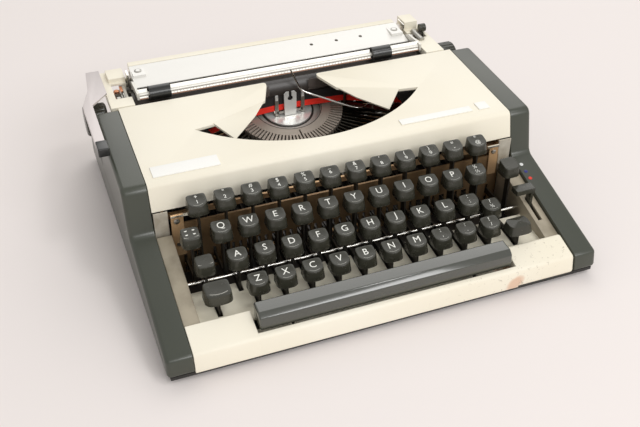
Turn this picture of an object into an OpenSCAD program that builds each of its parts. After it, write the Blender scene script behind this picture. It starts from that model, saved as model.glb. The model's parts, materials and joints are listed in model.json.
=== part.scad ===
// Portable manual typewriter, shown with the carriage centred.
// Machine frame used by the modules: X to the right of the typist, Y to the back,
// Z up, zero on the middle plane at the front bottom edge of the side panels.

/* [Casing] */
// Width over both side panels
body_w = 310; // [300:1:320]
// Thickness of one side panel seen from above
panel_w = 17.4; // [14:0.2:20]
// Wall of the moulded side panels and covers
wall = 2.4; // [1.8:0.1:3]
// Depth of the casing at the bottom
body_d = 278; // [272:1:290]
// Height of the front edge of the casing
front_h = 16.3; // [13:0.1:19]
// Height of the side panels where the keyboard ends
deck_h = 41.8; // [39:0.1:45]
// Height of the front crease of the cover
riser_h = 75.5; // [74:0.1:78]
// Height of the cover at its back edge
cover_h = 80.1; // [79:0.1:82]
// Height of the casing behind the cover, under the carriage
rear_h = 34; // [30:0.5:36]
// Gap between neighbouring casing parts
panel_gap = 0.4; // [0.2:0.1:1]
// Thickness of the floor plate
pan_t = 2.5; // [2:0.1:3.5]
// How far the rubber feet lift the casing
foot_drop = 3; // [2:0.5:5]
// Radius of a rubber foot
foot_r = 9; // [6:0.5:12]

/* [Keyboard] */
// Distance between the middles of two keys in a row
pitch = 19; // [18.6:0.1:19.2]
// Width of a key at its bottom
key_w = 14.6; // [13.5:0.1:14.8]
// Depth of a key at its bottom
key_d = 13; // [12:0.1:13.4]
// Height of a key
key_t = 9; // [8:0.5:9.5]
// Width of a key lever
lever_t = 1.2; // [0.8:0.1:1.3]
// Height of a key lever
lever_h = 4.5; // [3.5:0.1:5]
// Length of the space bar
space_w = 182; // [176:1:184]
// Front to back size of the space bar
space_d = 15.6; // [14:0.2:16]
// Radius of the rod that all levers turn on
fulcrum_r = 2; // [1.5:0.1:2.5]

/* [Print works] */
// Radius of the platen
platen_r = 15; // [13.5:0.1:15.4]
// Length of the platen rubber
platen_len = 236; // [226:1:238]
// Number of type bars with their slots
bar_count = 43; // [39:2:45]
// Radius of the arc of the type bar pivots
pivot_r = 40; // [38:0.5:42]
// Distance from the pivot arc's plane to the print point
basket_rise = 22; // [20:0.5:24]
// Thickness of one type bar
bar_t = 0.9; // [0.7:0.1:1.1]
// Radius of a ribbon spool
spool_r = 20; // [16:0.5:21]
// Width of the ribbon
ribbon_w = 12.7; // [11:0.1:13]

/* [Carriage] */
// Left end of the carriage
carriage_left = 142; // [140:1:143]
// Right end of the carriage
carriage_right = 133; // [132:1:134]
// Radius of the platen knobs
knob_r = 12; // [10:0.5:13]
// Length of a platen knob
knob_len = 17; // [14:0.5:18]
// Thickness of the carriage end plates
plate_t = 2; // [1.5:0.1:2.5]
// Length of the return lever from its pivot
lever_reach = 103; // [96:1:106]

/* [Hidden] */

cream = [0.93, 0.90, 0.81];
ivory = [0.95, 0.92, 0.85];
moss = [0.24, 0.26, 0.23];
steel = [0.62, 0.62, 0.63];
chrome = [0.82, 0.82, 0.84];
bronze = [0.62, 0.50, 0.38];
rubber = [0.10, 0.10, 0.10];
paint_black = [0.16, 0.15, 0.14];

big = 600;
cut = 1;

// Places of the casing profile, measured from the front bottom edge
front_lean = 2.6;
deck_y = 98.1;
riser_y = 106.4;
cover_y = 206.6;
rear_drop_y = 207;
side_x = body_w / 2;
inner_x = side_x - panel_w;
fill_x = inner_x - panel_gap;
deck_slope = (deck_h - front_h) / (deck_y - front_lean);
cover_slope = (cover_h - riser_h) / (cover_y - riser_y);
// Share of the drawn width that sideways places on the keyboard keep
wide = body_w / 310;
step = pitch * wide;

// The whole machine is moved so that its box stands centred over the origin
lever_out = 162;
shift_x = (lever_out - side_x) / 2;
shift_y = -body_d / 2;

// Print works
print_x = -2;
platen_y = 226;
platen_z = 63;
contact_deg = 19.5;
print_y = platen_y - platen_r * cos(contact_deg);
print_z = platen_z + platen_r * sin(contact_deg);
basket_tilt = 12;
basket_y = print_y + basket_rise * sin(basket_tilt);
basket_z = print_z - basket_rise * cos(basket_tilt);
bar_len = sqrt(pow(pivot_r, 2) + pow(basket_rise, 2));
bar_step = 176 / (bar_count - 1);
bar_rest = 4;
h_bar = (bar_count - 1) / 2;

// Keyboard rows: first key's middle, its depth and the height of its top
number_row = [-108.6 * wide, 88.1, 69.1, 12];
upper_row = [-97.4 * wide, 71.5, 56.2, 11];
home_row = [-91.7 * wide, 55.2, 43.7, 11];
lower_row = [-83.6 * wide, 36.8, 34.8, 10];
last_home_drop = 8.7;
// Other keys: middle, depth and height of the top
left_shift = [-111.2 * wide, 37, 34.8];
right_shift = [107 * wide, 32.2, 35];
lock_key = [-113.9 * wide, 56, 43.7];
release_key = [-118.4 * wide, 71.4, 56.2];
back_key = [119 * wide, 70.5, 56.2];
// Two arms carry the space bar
space_arms = [-67.8 * wide, 65.2 * wide];
fulcrum_y = 236;
fulcrum_z = 11;
lever_front_z = 16;
fit = 0.05;
// Gap between moving bodies that slide past each other
run_gap = 0.3;
key_taper = 3;
key_lean = 1.6;
stem_d = 5;

// Carriage
bail_y = 217.1;
bail_z = 82;
roller_r = 5.7;
bail_pivot_y = 248;
bail_pivot_z = 72;
plate_left_x = -128;
plate_right_x = 121;
shaft_r = 3;
rail_y = 250;
rail_w = 6;
rail_t = 8;
cap_z = 80;
cap_t = 2;
lever_z = 84;
lever_pivot_x = -147;
lever_pivot_y = 245;

// Moves the machine frame to the part's own frame
module place() translate([shift_x, shift_y, foot_drop]) children();

// Inset of a convex or gently bent outline given anticlockwise
function unit2(v) = v / norm(v);
function edge_normal(p, q) = let (d = unit2(q - p)) [-d[1], d[0]];
function meet(a, b, d) = a * d + (b - a * (a * b)) * (d - d * (a * b)) / (1 - pow(a * b, 2));
function inset(pts, d) = [for (i = [0 : len(pts) - 1])
    let (prev = pts[(i + len(pts) - 1) % len(pts)], here = pts[i], next = pts[(i + 1) % len(pts)],
         a = edge_normal(prev, here), b = edge_normal(here, next))
    here + (norm(a - b) < 0.001 ? a * d : meet(a, b, d))];

function deck_z(y) = front_h + (y - front_lean) * deck_slope;
function cover_z(y) = riser_h + (y - riser_y) * cover_slope;

// Outline in Y and Z, pushed along X between two planes
module along_x(x0, x1) translate([x0, 0, 0]) rotate([90, 0, 90]) linear_extrude(x1 - x0) children();
// Round bar along X
module rod_x(x0, x1, y, z, r) translate([x0, y, z]) rotate([0, 90, 0]) cylinder(h = x1 - x0, r = r, $fn = 48);
// Upright round bar
module post(x, y, z0, z1, r) translate([x, y, z0]) cylinder(h = z1 - z0, r = r, $fn = 48);
// Box between two corners
module slab(a, b) translate(a) cube(b - a);
// Both sides of the middle plane
module both_sides() { children(); mirror([1, 0, 0]) children(); }

panel_profile = [[0, pan_t], [body_d, pan_t], [body_d - 3, rear_h - 4], [body_d - 7, rear_h],
    [rear_drop_y, rear_h], [cover_y, cover_h], [riser_y, riser_h], [deck_y, deck_h],
    [front_lean, front_h]];

screw_places = [[side_x - panel_w / 2, 24], [side_x - panel_w / 2, 250]];
screw_r = 1.45;
boss_r = 4;
boss_h = 9;

module side_panel() {
    difference() {
        union() {
            difference() {
                along_x(inner_x, side_x) polygon(panel_profile);
                along_x(inner_x - cut, side_x - wall) polygon(inset(panel_profile, wall));
            }
            for (p = screw_places) post(p[0], p[1], pan_t + wall - cut, pan_t + boss_h, boss_r);
        }
        for (p = screw_places) post(p[0], p[1], pan_t - cut, pan_t + boss_h - 1.5, screw_r + fit);
    }
}

module side_panel_left() { color(moss) place() mirror([1, 0, 0]) side_panel(); }
module side_panel_right() { color(moss) place() side_panel(); }

foot_places = [[side_x - 26, 26], [side_x - 26, body_d - 30]];
pan_edge = 2;

module base_pan() {
    color(paint_black) place() difference() {
        slab([-side_x + pan_edge, pan_edge, 0], [side_x - pan_edge, body_d - pan_edge, pan_t]);
        both_sides() for (p = screw_places) post(p[0], p[1], -cut, pan_t + cut, screw_r + 0.15);
        for (x = [-60, 0, 60]) slab([x - 15, 130, -cut], [x + 15, 134, pan_t + cut]);
        for (x = [-60, 0, 60]) slab([x - 15, 142, -cut], [x + 15, 146, pan_t + cut]);
    }
}

module rubber_feet() {
    color(rubber) place() both_sides() for (p = foot_places) translate([p[0], p[1], -foot_drop])
        cylinder(h = foot_drop, r1 = foot_r - 1, r2 = foot_r, $fn = 48);
}

screw_head_t = 1.6;

module casing_screws() {
    color(steel) place() both_sides() for (p = screw_places) {
        post(p[0], p[1], -screw_head_t, 0, 3);
        post(p[0], p[1], -screw_head_t / 2, pan_t + boss_h - 2, screw_r);
    }
}

// Front apron with the trough for the space bar
apron_back_y = 24;
space_x = -1;
space_y = 15.8;
trough_gap = 2;
trough_x = space_w / 2 + trough_gap;
trough_front = space_y - space_d / 2 - 1.4;
apron_profile = [[0.2, pan_t], [apron_back_y, pan_t], [apron_back_y, deck_z(apron_back_y)],
    [front_lean, front_h]];

module front_apron() {
    color(cream) place() difference() {
        along_x(-fill_x, fill_x) polygon(apron_profile);
        for (s = [-1, 1]) along_x(s > 0 ? space_x + trough_x + wall : -fill_x + wall,
            s > 0 ? fill_x - wall : space_x - trough_x - wall) polygon(inset(apron_profile, wall));
        slab([space_x - trough_x, trough_front, pan_t - cut], [space_x + trough_x, apron_back_y + cut, big]);
        along_x(space_x - trough_x, space_x + trough_x)
            polygon([[wall + 1.4, pan_t + wall], [trough_front - 1.6, pan_t + wall], [trough_front - 1.6, 13.5], [wall + 2.2, 13]]);
    }
}

// Cream plate under the two lower key rows and the sloping cheeks beside the keys
deck_drop = 9;
deck_t = 2;
deck_back_y = 60;
deck_x = fill_x - 10.8;
cheek_back_y = 97;
deck_front_y = apron_back_y + 0.6;
function plate_z(y) = deck_z(y) - deck_drop - (y - deck_front_y) * 0.2;

module deck_slot(x, y0, y1, w) { slab([x - w / 2, y0, -cut], [x + w / 2, y1, big]); }

lever_slot = lever_t + 2.2;
stem_gap = 1.2;
slots_ahead = stem_d / 2 + stem_gap;

module keyboard_deck() {
    color(ivory) place() {
        difference() {
            along_x(-deck_x - deck_t, deck_x + deck_t)
                polygon([[deck_front_y, plate_z(deck_front_y) - deck_t], [deck_back_y, plate_z(deck_back_y) - deck_t],
                    [deck_back_y, plate_z(deck_back_y)], [deck_front_y, plate_z(deck_front_y)]]);
            for (i = [0 : home_row[3] - 1]) deck_slot(home_row[0] + step * i, home_row[1] - slots_ahead, big, lever_slot);
            for (i = [0 : lower_row[3] - 1]) deck_slot(lower_row[0] + step * i, lower_row[1] - slots_ahead, big, lever_slot);
            for (k = [lock_key, left_shift, right_shift]) deck_slot(k[0], k[1] - slots_ahead, big, lever_slot);
        }
        for (s = [-1, 1]) difference() {
            along_x(s > 0 ? deck_x : -fill_x, s > 0 ? fill_x : -deck_x)
                polygon([[deck_front_y, pan_t], [cheek_back_y, pan_t], [cheek_back_y, deck_z(cheek_back_y) - 3],
                    [deck_front_y, deck_z(deck_front_y) - 3]]);
            along_x(s > 0 ? deck_x + deck_t : -fill_x + deck_t, s > 0 ? fill_x - deck_t : -deck_x - deck_t)
                polygon([[deck_front_y + deck_t, pan_t - cut], [cheek_back_y - deck_t, pan_t - cut],
                    [cheek_back_y - deck_t, deck_z(cheek_back_y) - 3 - deck_t - 0.6],
                    [deck_front_y + deck_t, deck_z(deck_front_y) - 3 - deck_t]]);
            if (s > 0) slab([selector_x - selector_w / 2 - 0.4, selector_y - selector_d - selector_throw, pan_t + 8],
                [selector_x + selector_w / 2 + 0.4, selector_y + selector_d, big]);
        }
    }
}

// Top cover: a shell with a window over the type basket and two folded wings
cover_lip_z = 56.5;
cover_front_y = riser_y - (riser_h - cover_lip_z) * (riser_y - deck_y) / (riser_h - deck_h);
cover_back = cover_y - 0.6;
window_r = 122;
window_y = 244.5;
wing_tip = [21, 202];
wing_root = [29, 181];
wing_corner = [74, 163];
flap_low = [60, 149];
flap_mid = [40, 168];
cover_outline = [[cover_front_y, cover_lip_z], [cover_back, cover_lip_z], [cover_back, cover_z(cover_back)],
    [riser_y, riser_h]];
window_shape = [[-wing_tip[0], big], [-wing_tip[0], wing_tip[1]], [-wing_root[0], wing_root[1]],
    [-wing_corner[0], wing_corner[1]], [-wing_corner[0] - 30, wing_corner[1] - 4], [-wing_corner[0] - 30, 100],
    [wing_corner[0] + 30, 100], [wing_corner[0] + 30, wing_corner[1] - 4], [wing_corner[0], wing_corner[1]],
    [wing_root[0], wing_root[1]], [wing_tip[0], wing_tip[1]], [wing_tip[0], big]];
fold = wing_corner - wing_root;
fold_deg = atan2(fold[1], fold[0]);
fold_drop = 32;
cover_t = 2;
// Point of the flap measured along the fold and square to it
function on_fold(p) = let (d = p - wing_root, c = cos(fold_deg), s = sin(fold_deg))
    [d[0] * c + d[1] * s, -d[0] * s + d[1] * c];

module cover_flap() {
    translate([wing_root[0], wing_root[1], cover_z(wing_root[1])])
        rotate([0, 0, fold_deg]) rotate([fold_drop, 0, 0]) translate([0, 0, -cover_t])
            linear_extrude(cover_t - 0.2) polygon([[0, 0.4], on_fold(flap_mid), on_fold(flap_low), on_fold(wing_corner) + [0, 0.4]]);
}

module top_cover() {
    color(cream) place() {
        difference() {
            along_x(-fill_x, fill_x) polygon(cover_outline);
            along_x(-fill_x + wall, fill_x - wall)
                polygon([[cover_front_y + wall, cover_lip_z - cut], [cover_back + cut, cover_lip_z - cut],
                    [cover_back + cut, cover_z(cover_back) - cover_t], [riser_y + wall * 0.8, riser_h - cover_t]]);
            translate([print_x, 0, cover_lip_z + 4]) linear_extrude(big) intersection() {
                translate([0, window_y]) circle(r = window_r, $fn = 160);
                polygon(window_shape);
            }
        }
        translate([print_x, 0, 0]) both_sides() cover_flap();
    }
}

// Bare name plates on the cover
plate_lift = 0.8;

module cover_badge(x, y, w, d) {
    translate([x, y, cover_z(y)]) rotate([atan(cover_slope), 0, 0])
        translate([-w / 2, -d / 2, 0]) cube([w, d, plate_lift]);
}

module name_plates() {
    color("white") place() {
        cover_badge(29.2 - fill_x, 119.5, 47, 12);
        cover_badge(fill_x - 55.2, 119.8, 58, 6.5);
        cover_badge(fill_x - 16.2, 120.8, 9, 9);
    }
}

module back_panel() {
    color(cream) place() difference() {
        slab([-fill_x, body_d - 7, pan_t], [fill_x, body_d - 7 + wall, rear_h]);
        for (x = [-90 : 20 : 90]) slab([x - 6, body_d - 7 - cut, 10], [x + 6, body_d - 7 + wall + cut, 14]);
    }
}

// Steel side plates and cross members that carry everything
chassis_x = fill_x - 6.2;
chassis_t = 2;
chassis_front = 104;
chassis_back = 262;
chassis_high = 54;
back_bar_y = 256;
back_bar_t = 6;
stud_y = 260;
stud_r = 2;
leg_w = 6;
leg_d = 5;
drum_x = -80;
drum_r = 9.5;
drum_z = pan_t + back_bar_t + run_gap;
drum_h = 12;
wheel_x = 20;
wheel_r = 7.5;
wheel_z = 24;
wheel_h = 3;
bell_x = 70;
bell_r = 9;
bell_z = 13;
function rest_z_at(y) = cover_z(y) - cover_t - 0.1;

// Places along the side plates where the cover rests
cover_rests = [112, 120, 192, 200];
guide_bar_y = [200, 212];
guide_bar_z = [24, 28];
basket_leg_x = 30;
basket_leg_y = 206;

module chassis() {
    color(bronze) place() difference() {
        union() {
            for (s = [-1, 1]) along_x(s > 0 ? chassis_x - chassis_t : -chassis_x, s > 0 ? chassis_x : -chassis_x + chassis_t)
                polygon([[chassis_front, pan_t], [chassis_back, pan_t], [chassis_back, rear_h],
                    [rear_drop_y - 1, rear_h], [cover_rests[3], chassis_high],
                    [cover_rests[3], rest_z_at(cover_rests[3])], [cover_rests[2], rest_z_at(cover_rests[2])],
                    [cover_rests[2] - 4, chassis_high], [cover_rests[1] + 4, chassis_high],
                    [cover_rests[1], rest_z_at(cover_rests[1])], [cover_rests[0], rest_z_at(cover_rests[0])],
                    [chassis_front, chassis_high - 6]]);
            slab([-chassis_x, back_bar_y, pan_t], [chassis_x, chassis_back, pan_t + back_bar_t]);
            slab([-chassis_x, chassis_front, pan_t], [chassis_x, chassis_front + 3, pan_t + 1.5]);
            slab([-chassis_x, 108, chassis_high - 10], [chassis_x, 110, chassis_high - 6]);
            slab([-chassis_x, guide_bar_y[0], guide_bar_z[0]], [chassis_x, guide_bar_y[1], guide_bar_z[1]]);
            post(drum_x, stud_y, pan_t + back_bar_t - cut, drum_z + drum_h, stud_r);
            post(wheel_x, stud_y, pan_t + back_bar_t - cut, wheel_z - run_gap, stud_r + 2);
            post(wheel_x, stud_y, wheel_z - cut, wheel_z + wheel_h, stud_r);
            post(bell_x, stud_y, pan_t + back_bar_t - cut, bell_z + 0.5, stud_r);
        }
        rod_x(-chassis_x - cut, chassis_x + cut, fulcrum_y, fulcrum_z, fulcrum_r + fit);
        for (s = [-1, 1]) slab([print_x + s * basket_leg_x - leg_w / 2 - run_gap, basket_leg_y - leg_d / 2 - run_gap, 0],
            [print_x + s * basket_leg_x + leg_w / 2 + run_gap, basket_leg_y + leg_d / 2 + run_gap, guide_bar_z[1] + cut]);
        for (s = [-1, 1]) slab([print_x + s * fork_x - fork_w / 2 - run_gap, fork_y - run_gap, guide_bar_z[0] - cut],
            [print_x + s * fork_x + fork_w / 2 + run_gap, fork_y + fork_t + run_gap, guide_bar_z[1] + cut]);
    }
}

module fulcrum_rod() { color(steel) place() rod_x(-chassis_x - 1, chassis_x + 1, fulcrum_y, fulcrum_z, fulcrum_r); }

// Rail that the carriage runs on, standing on two chassis feet
module carriage_rail() {
    color(steel) place() {
        slab([-chassis_x, rail_y, rear_h], [chassis_x, rail_y + rail_w, rear_h + rail_t]);
        for (x = [-chassis_x + 14, chassis_x - 18])
            slab([x, rail_y, pan_t], [x + 4, rail_y + rail_w, rear_h]);
    }
}

// Comb that keeps the lever tips apart
comb_y = 97.3;
comb_t = 1.6;
comb_top = 46;
comb_x = deck_x - 0.4;
comb_gap = 0.5;
comb_slot_top = 20;
function row_places(row) = [for (i = [0 : row[3] - 1]) row[0] + step * i];
comb_places = concat(row_places(number_row), row_places(upper_row), row_places(home_row), row_places(lower_row),
    space_arms, [left_shift[0], right_shift[0], lock_key[0], release_key[0], back_key[0]]);

module key_comb() {
    color(bronze) place() difference() {
        slab([-comb_x, comb_y, pan_t], [comb_x, comb_y + comb_t, comb_top]);
        for (x = comb_places) slab([x - lever_t / 2 - comb_gap, comb_y - cut, pan_t + 1.3],
            [x + lever_t / 2 + comb_gap, comb_y + comb_t + cut, comb_slot_top]);
    }
}

// Height of the middle of a lever at a given depth
function lever_z_at(y) = fulcrum_z + (lever_front_z - fulcrum_z) * (fulcrum_y - y) / (fulcrum_y - 36);

module lever(x, y, top) {
    difference() {
        union() {
            along_x(x - lever_t / 2, x + lever_t / 2) polygon([
                [y - stem_d / 2, lever_z_at(y) - lever_h / 2], [fulcrum_y, fulcrum_z - lever_h / 2],
                [fulcrum_y, fulcrum_z + lever_h / 2], [y + stem_d / 2, lever_z_at(y) + lever_h / 2],
                [y + stem_d / 2, top], [y - stem_d / 2, top]]);
            rod_x(x - lever_t / 2, x + lever_t / 2, fulcrum_y, fulcrum_z, fulcrum_r + 2.4);
        }
        rod_x(x - lever_t, x + lever_t, fulcrum_y, fulcrum_z, fulcrum_r + fit);
    }
}

// Key cap: side walls lean in towards the top
module cap(x, y, top, w, d) {
    intersection() {
        translate([x, y + d / 2, top - key_t]) rotate([90, 0, 0]) linear_extrude(d)
            polygon([[-w / 2, 0], [w / 2, 0], [w / 2 - key_taper / 2, key_t + cut], [-w / 2 + key_taper / 2, key_t + cut]]);
        along_x(x - w / 2, x + w / 2) polygon([[y - d / 2, top - key_t], [y + d / 2, top - key_t],
            [y + d / 2 - key_taper / 3, top + key_lean / 2], [y - d / 2 + key_taper / 2, top - key_lean / 2]]);
    }
}

module key(x, y, top, w, d) {
    cap(x, y, top, w, d);
    lever(x, y, top - key_t);
}

// Key number i of a row; the last key of the home row stands lower
module row_key(row, i) {
    low = (row == home_row && i == row[3] - 1) ? last_home_drop : 0;
    key(row[0] + step * i, row[1], row[2] - low, key_w, key_d);
}

module finger(numbers, uppers, homes, lowers) {
    color(moss) place() {
        for (i = numbers) row_key(number_row, i);
        for (i = uppers) row_key(upper_row, i);
        for (i = homes) row_key(home_row, i);
        for (i = lowers) row_key(lower_row, i);
    }
}

module keys_left_little() { finger([0], [0], [0], [0]); }
module keys_left_ring() { finger([1], [1], [1], [1]); }
module keys_left_middle() { finger([2], [2], [2], [2]); }
module keys_left_index() { finger([3, 4], [3, 4], [3, 4], [3, 4]); }
module key_h() { finger([], [], [5], []); }
module keys_right_index() { finger([5, 6], [5, 6], [6], [5, 6]); }
module keys_right_middle() { finger([7], [7], [7], [7]); }
module keys_right_ring() { finger([8], [8], [8], [8]); }
module keys_right_little() { finger([9, 10, 11], [9, 10], [9, 10], [9]); }

shift_w = 19;
shift_d = 14;

// Two arms carry the bar and turn on the common rod
space_top = 29;
arm_top = 10.6;
arm_low = 8.5;

module space_bar() {
    color(moss) place() difference() {
        union() {
            along_x(space_x - space_w / 2, space_x + space_w / 2) polygon([
                [space_y - space_d / 2, space_top - 12], [space_y + space_d / 2, space_top - 12],
                [space_y + space_d / 2 - 0.6, space_top], [space_y - space_d / 2 + 4.5, space_top - 0.4],
                [space_y - space_d / 2 + 1, space_top - 3.4]]);
            for (x = space_arms) {
                along_x(x - lever_t / 2, x + lever_t / 2) polygon([
                    [space_y - 2, arm_low], [deck_front_y + 2, arm_low], [40, arm_low - 0.6], [fulcrum_y, fulcrum_z - 3],
                    [fulcrum_y, fulcrum_z + 3], [40, arm_top + 1], [deck_front_y + 1, arm_top], [deck_front_y - 1.6, arm_top],
                    [deck_front_y - 2.6, space_top - 11], [space_y - 2, space_top - 11]]);
                rod_x(x - lever_t / 2, x + lever_t / 2, fulcrum_y, fulcrum_z, fulcrum_r + 2.4);
            }
        }
        rod_x(-100, 100, fulcrum_y, fulcrum_z, fulcrum_r + fit);
    }
}

// Both shift keys hang on one cross shaft behind the levers
shift_shaft_y = 246;
shift_shaft_z = 13;

module shift_keys() {
    color(moss) place() {
        key(left_shift[0], left_shift[1], left_shift[2], shift_w, shift_d);
        key(right_shift[0], right_shift[1], right_shift[2], shift_w, shift_d);
        difference() {
            for (s = [left_shift, right_shift]) along_x(s[0] - lever_t / 2, s[0] + lever_t / 2)
                polygon([[fulcrum_y + 2, fulcrum_z - 3], [fulcrum_y + 2, fulcrum_z + 3],
                    [shift_shaft_y, shift_shaft_z + 2], [shift_shaft_y, shift_shaft_z - 2]]);
            rod_x(-big, big, fulcrum_y, fulcrum_z, fulcrum_r + fit);
        }
        rod_x(left_shift[0] - 1, right_shift[0] + 1, shift_shaft_y, shift_shaft_z, 2);
    }
}

module shift_lock() { color(moss) place() key(lock_key[0], lock_key[1], lock_key[2], key_w - 1, key_d - 1); }
module margin_release_key() { color(moss) place() key(release_key[0], release_key[1], release_key[2], key_w - 1, key_d - 1); }
module backspace_key() { color(moss) place() key(back_key[0], back_key[1], back_key[2], key_w - 1, key_d); }

// Sliding tab that picks the black, stencil or red part of the ribbon
selector_x = fill_x - 6.2;
selector_y = 57.5;
selector_w = 2.2;
selector_d = 3.5;
selector_throw = 14;
selector_top = 38;

module ribbon_selector() {
    color(moss) place() {
        slab([selector_x - selector_w / 2, selector_y - selector_d + 0.5, pan_t + run_gap],
            [selector_x + selector_w / 2, selector_y + selector_d - 0.5, selector_top + 1]);
        slab([selector_x - 13.5, selector_y - 4, selector_top], [selector_x + 1.5, selector_y + 4, selector_top + 4]);
    }
}

// Turns the basket frame, where Z is the common axis of the bar planes, into place
module basket() translate([print_x, basket_y, basket_z]) rotate([basket_tilt, 0, 0]) children();

segment_in = 27;
segment_out = 45;
segment_t = 7;
slot_in = 35;
// The striking bar's own slot starts further in, so that the raised bar clears it
strike_in = 29.5;
ledge_in = 17;
guide_t = 0.5;
slug_back = 2;

module half_ring(r0, r1, z0, z1) {
    translate([0, 0, z0]) rotate([0, 0, 180]) rotate_extrude(angle = 180, $fn = 120)
        translate([r0, 0]) square([r1 - r0, z1 - z0]);
}

module segment() {
    color(steel) place() {
        basket() difference() {
            union() {
                half_ring(segment_in, segment_out, -segment_t / 2, segment_t / 2);
                half_ring(ledge_in, segment_in + cut, -segment_t / 2, -guide_t);
            }
            for (i = [0 : bar_count - 1]) rotate([0, 0, -90 + (i - (bar_count - 1) / 2) * bar_step])
                slab([i == h_bar ? strike_in : slot_in, -bar_t / 2 - 0.15, -segment_t], [segment_out + cut, bar_t / 2 + 0.15, segment_t]);
        }
        for (s = [-1, 1]) slab([print_x + s * basket_leg_x - leg_w / 2, basket_leg_y - leg_d / 2, guide_bar_z[0] - 0.5],
            [print_x + s * basket_leg_x + leg_w / 2, basket_leg_y + leg_d / 2, basket_z - 4.4]);
    }
}

// One type bar lying at rest; X runs outwards from the basket's axis
slug_w = 1.6;

module type_bar() {
    translate([pivot_r, 0, 0]) rotate([0, bar_rest, 0]) {
        slab([-2, -bar_t / 2, -1.3], [bar_len - slug_back - 3, bar_t / 2, 1.3]);
        slab([bar_len - slug_back - 4, -slug_w / 2, -1.5], [bar_len - slug_back, slug_w / 2, 1.5]);
    }
}

module type_bars() {
    color(steel) place() basket() for (i = [0 : bar_count - 1]) if (i != h_bar)
        rotate([0, 0, -90 + (i - h_bar) * bar_step]) type_bar();
}

// The striking bar turns on its round heel
heel_r = 1.8;

module type_bar_h() {
    color(chrome) place() basket() rotate([0, 0, -90]) {
        type_bar();
        translate([pivot_r, 0, 0]) rotate([90, 0, 0]) translate([0, 0, -bar_t / 2]) cylinder(h = bar_t, r = heel_r, $fn = 32);
    }
}

// White half disc with the upright tongue that guides the striking bar
guide_r = 20;
tongue_w = 11;
tongue_y = print_y - 3.4;

module type_guide() {
    color("white") place() difference() {
        union() {
            basket() half_ring(0.01, guide_r, -guide_t, 0.7);
            difference() {
                slab([print_x - tongue_w / 2, tongue_y - 1, basket_z - 2], [print_x + tongue_w / 2, tongue_y, print_z - 1]);
                slab([print_x - 2.2, tongue_y - 2, print_z - 9], [print_x + 2.2, tongue_y + cut, big]);
            }
        }
        for (s = [-1, 1]) slab([print_x + s * fork_x - fork_w / 2 - run_gap, fork_y - run_gap, 0],
            [print_x + s * fork_x + fork_w / 2 + run_gap, fork_y + fork_t + run_gap, big]);
    }
}

ribbon_z = 50.5;
ribbon_y = print_y - 1.6;
span_x = 15;
vibrator_z = ribbon_z - 3;
fork_x = 11;
fork_w = 3;
fork_t = 0.9;
fork_y = ribbon_y - 0.2 - fork_t;
fork_low = 17;

module ribbon_vibrator() {
    color(steel) place() translate([print_x, 0, 0]) {
        for (s = [-1, 1]) slab([s * fork_x - fork_w / 2, fork_y, fork_low], [s * fork_x + fork_w / 2, fork_y + fork_t, ribbon_z + ribbon_w + 1.6]);
        slab([-fork_x, fork_y, vibrator_z], [fork_x, fork_y + fork_t, ribbon_z - 0.6]);
    }
}

module ribbon_span() {
    color("firebrick") place()
        slab([print_x - span_x, ribbon_y - 0.15, ribbon_z], [print_x + span_x, ribbon_y + 0.15, ribbon_z + ribbon_w]);
}

spool_x = chassis_x - 35;
spool_y = 172;
spool_z = 48;
flange_t = 1;
spool_in = ribbon_w + 1;
hub_r = 7;
wound_r = 15;

// Flat strip between two places seen from above
module strip(a, b, z0, z1, t) {
    d = b - a;
    translate([a[0], a[1], z0]) rotate([0, 0, atan2(d[1], d[0])]) translate([0, -t / 2, 0]) cube([norm(d), t, z1 - z0]);
}

guide_post = [44, 205.5];
post_r = 1.2;
ribbon_t = 0.3;

module ribbon() {
    color("firebrick") place() {
        for (s = [-1, 1]) {
            strip([print_x + s * (span_x + 0.4), ribbon_y], [s * guide_post[0], guide_post[1] + post_r + ribbon_t],
                ribbon_z, ribbon_z + ribbon_w, ribbon_t);
            strip([s * guide_post[0], guide_post[1] + post_r + ribbon_t], [s * (spool_x - 6.5), spool_y + wound_r - 1.6],
                ribbon_z, ribbon_z + ribbon_w, ribbon_t);
        }
        both_sides() translate([spool_x, spool_y, ribbon_z]) difference() {
            cylinder(h = ribbon_w, r = wound_r, $fn = 64);
            translate([0, 0, -cut]) cylinder(h = ribbon_w + 2 * cut, r = hub_r + 0.4, $fn = 64);
        }
    }
}

module spool() {
    translate([spool_x, spool_y, 0]) difference() {
        union() {
            translate([0, 0, ribbon_z - 0.4 - flange_t]) cylinder(h = flange_t, r = spool_r, $fn = 64);
            translate([0, 0, ribbon_z + ribbon_w + 0.4]) cylinder(h = flange_t, r = spool_r, $fn = 64);
            translate([0, 0, ribbon_z - 0.5]) cylinder(h = ribbon_w + 1, r = hub_r, $fn = 64);
        }
        translate([0, 0, spool_z]) cylinder(h = 40, r = 2.5 + fit, $fn = 48);
    }
}

module ribbon_spool_left() { color(paint_black) place() mirror([1, 0, 0]) spool(); }
module ribbon_spool_right() { color(paint_black) place() spool(); }

cup_t = 1.4;
cup_z = ribbon_z - 0.4 - flange_t - run_gap - cup_t;
guide_arm_z = cup_z + 1;
cup_h = ribbon_z - run_gap - cup_z;

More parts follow.
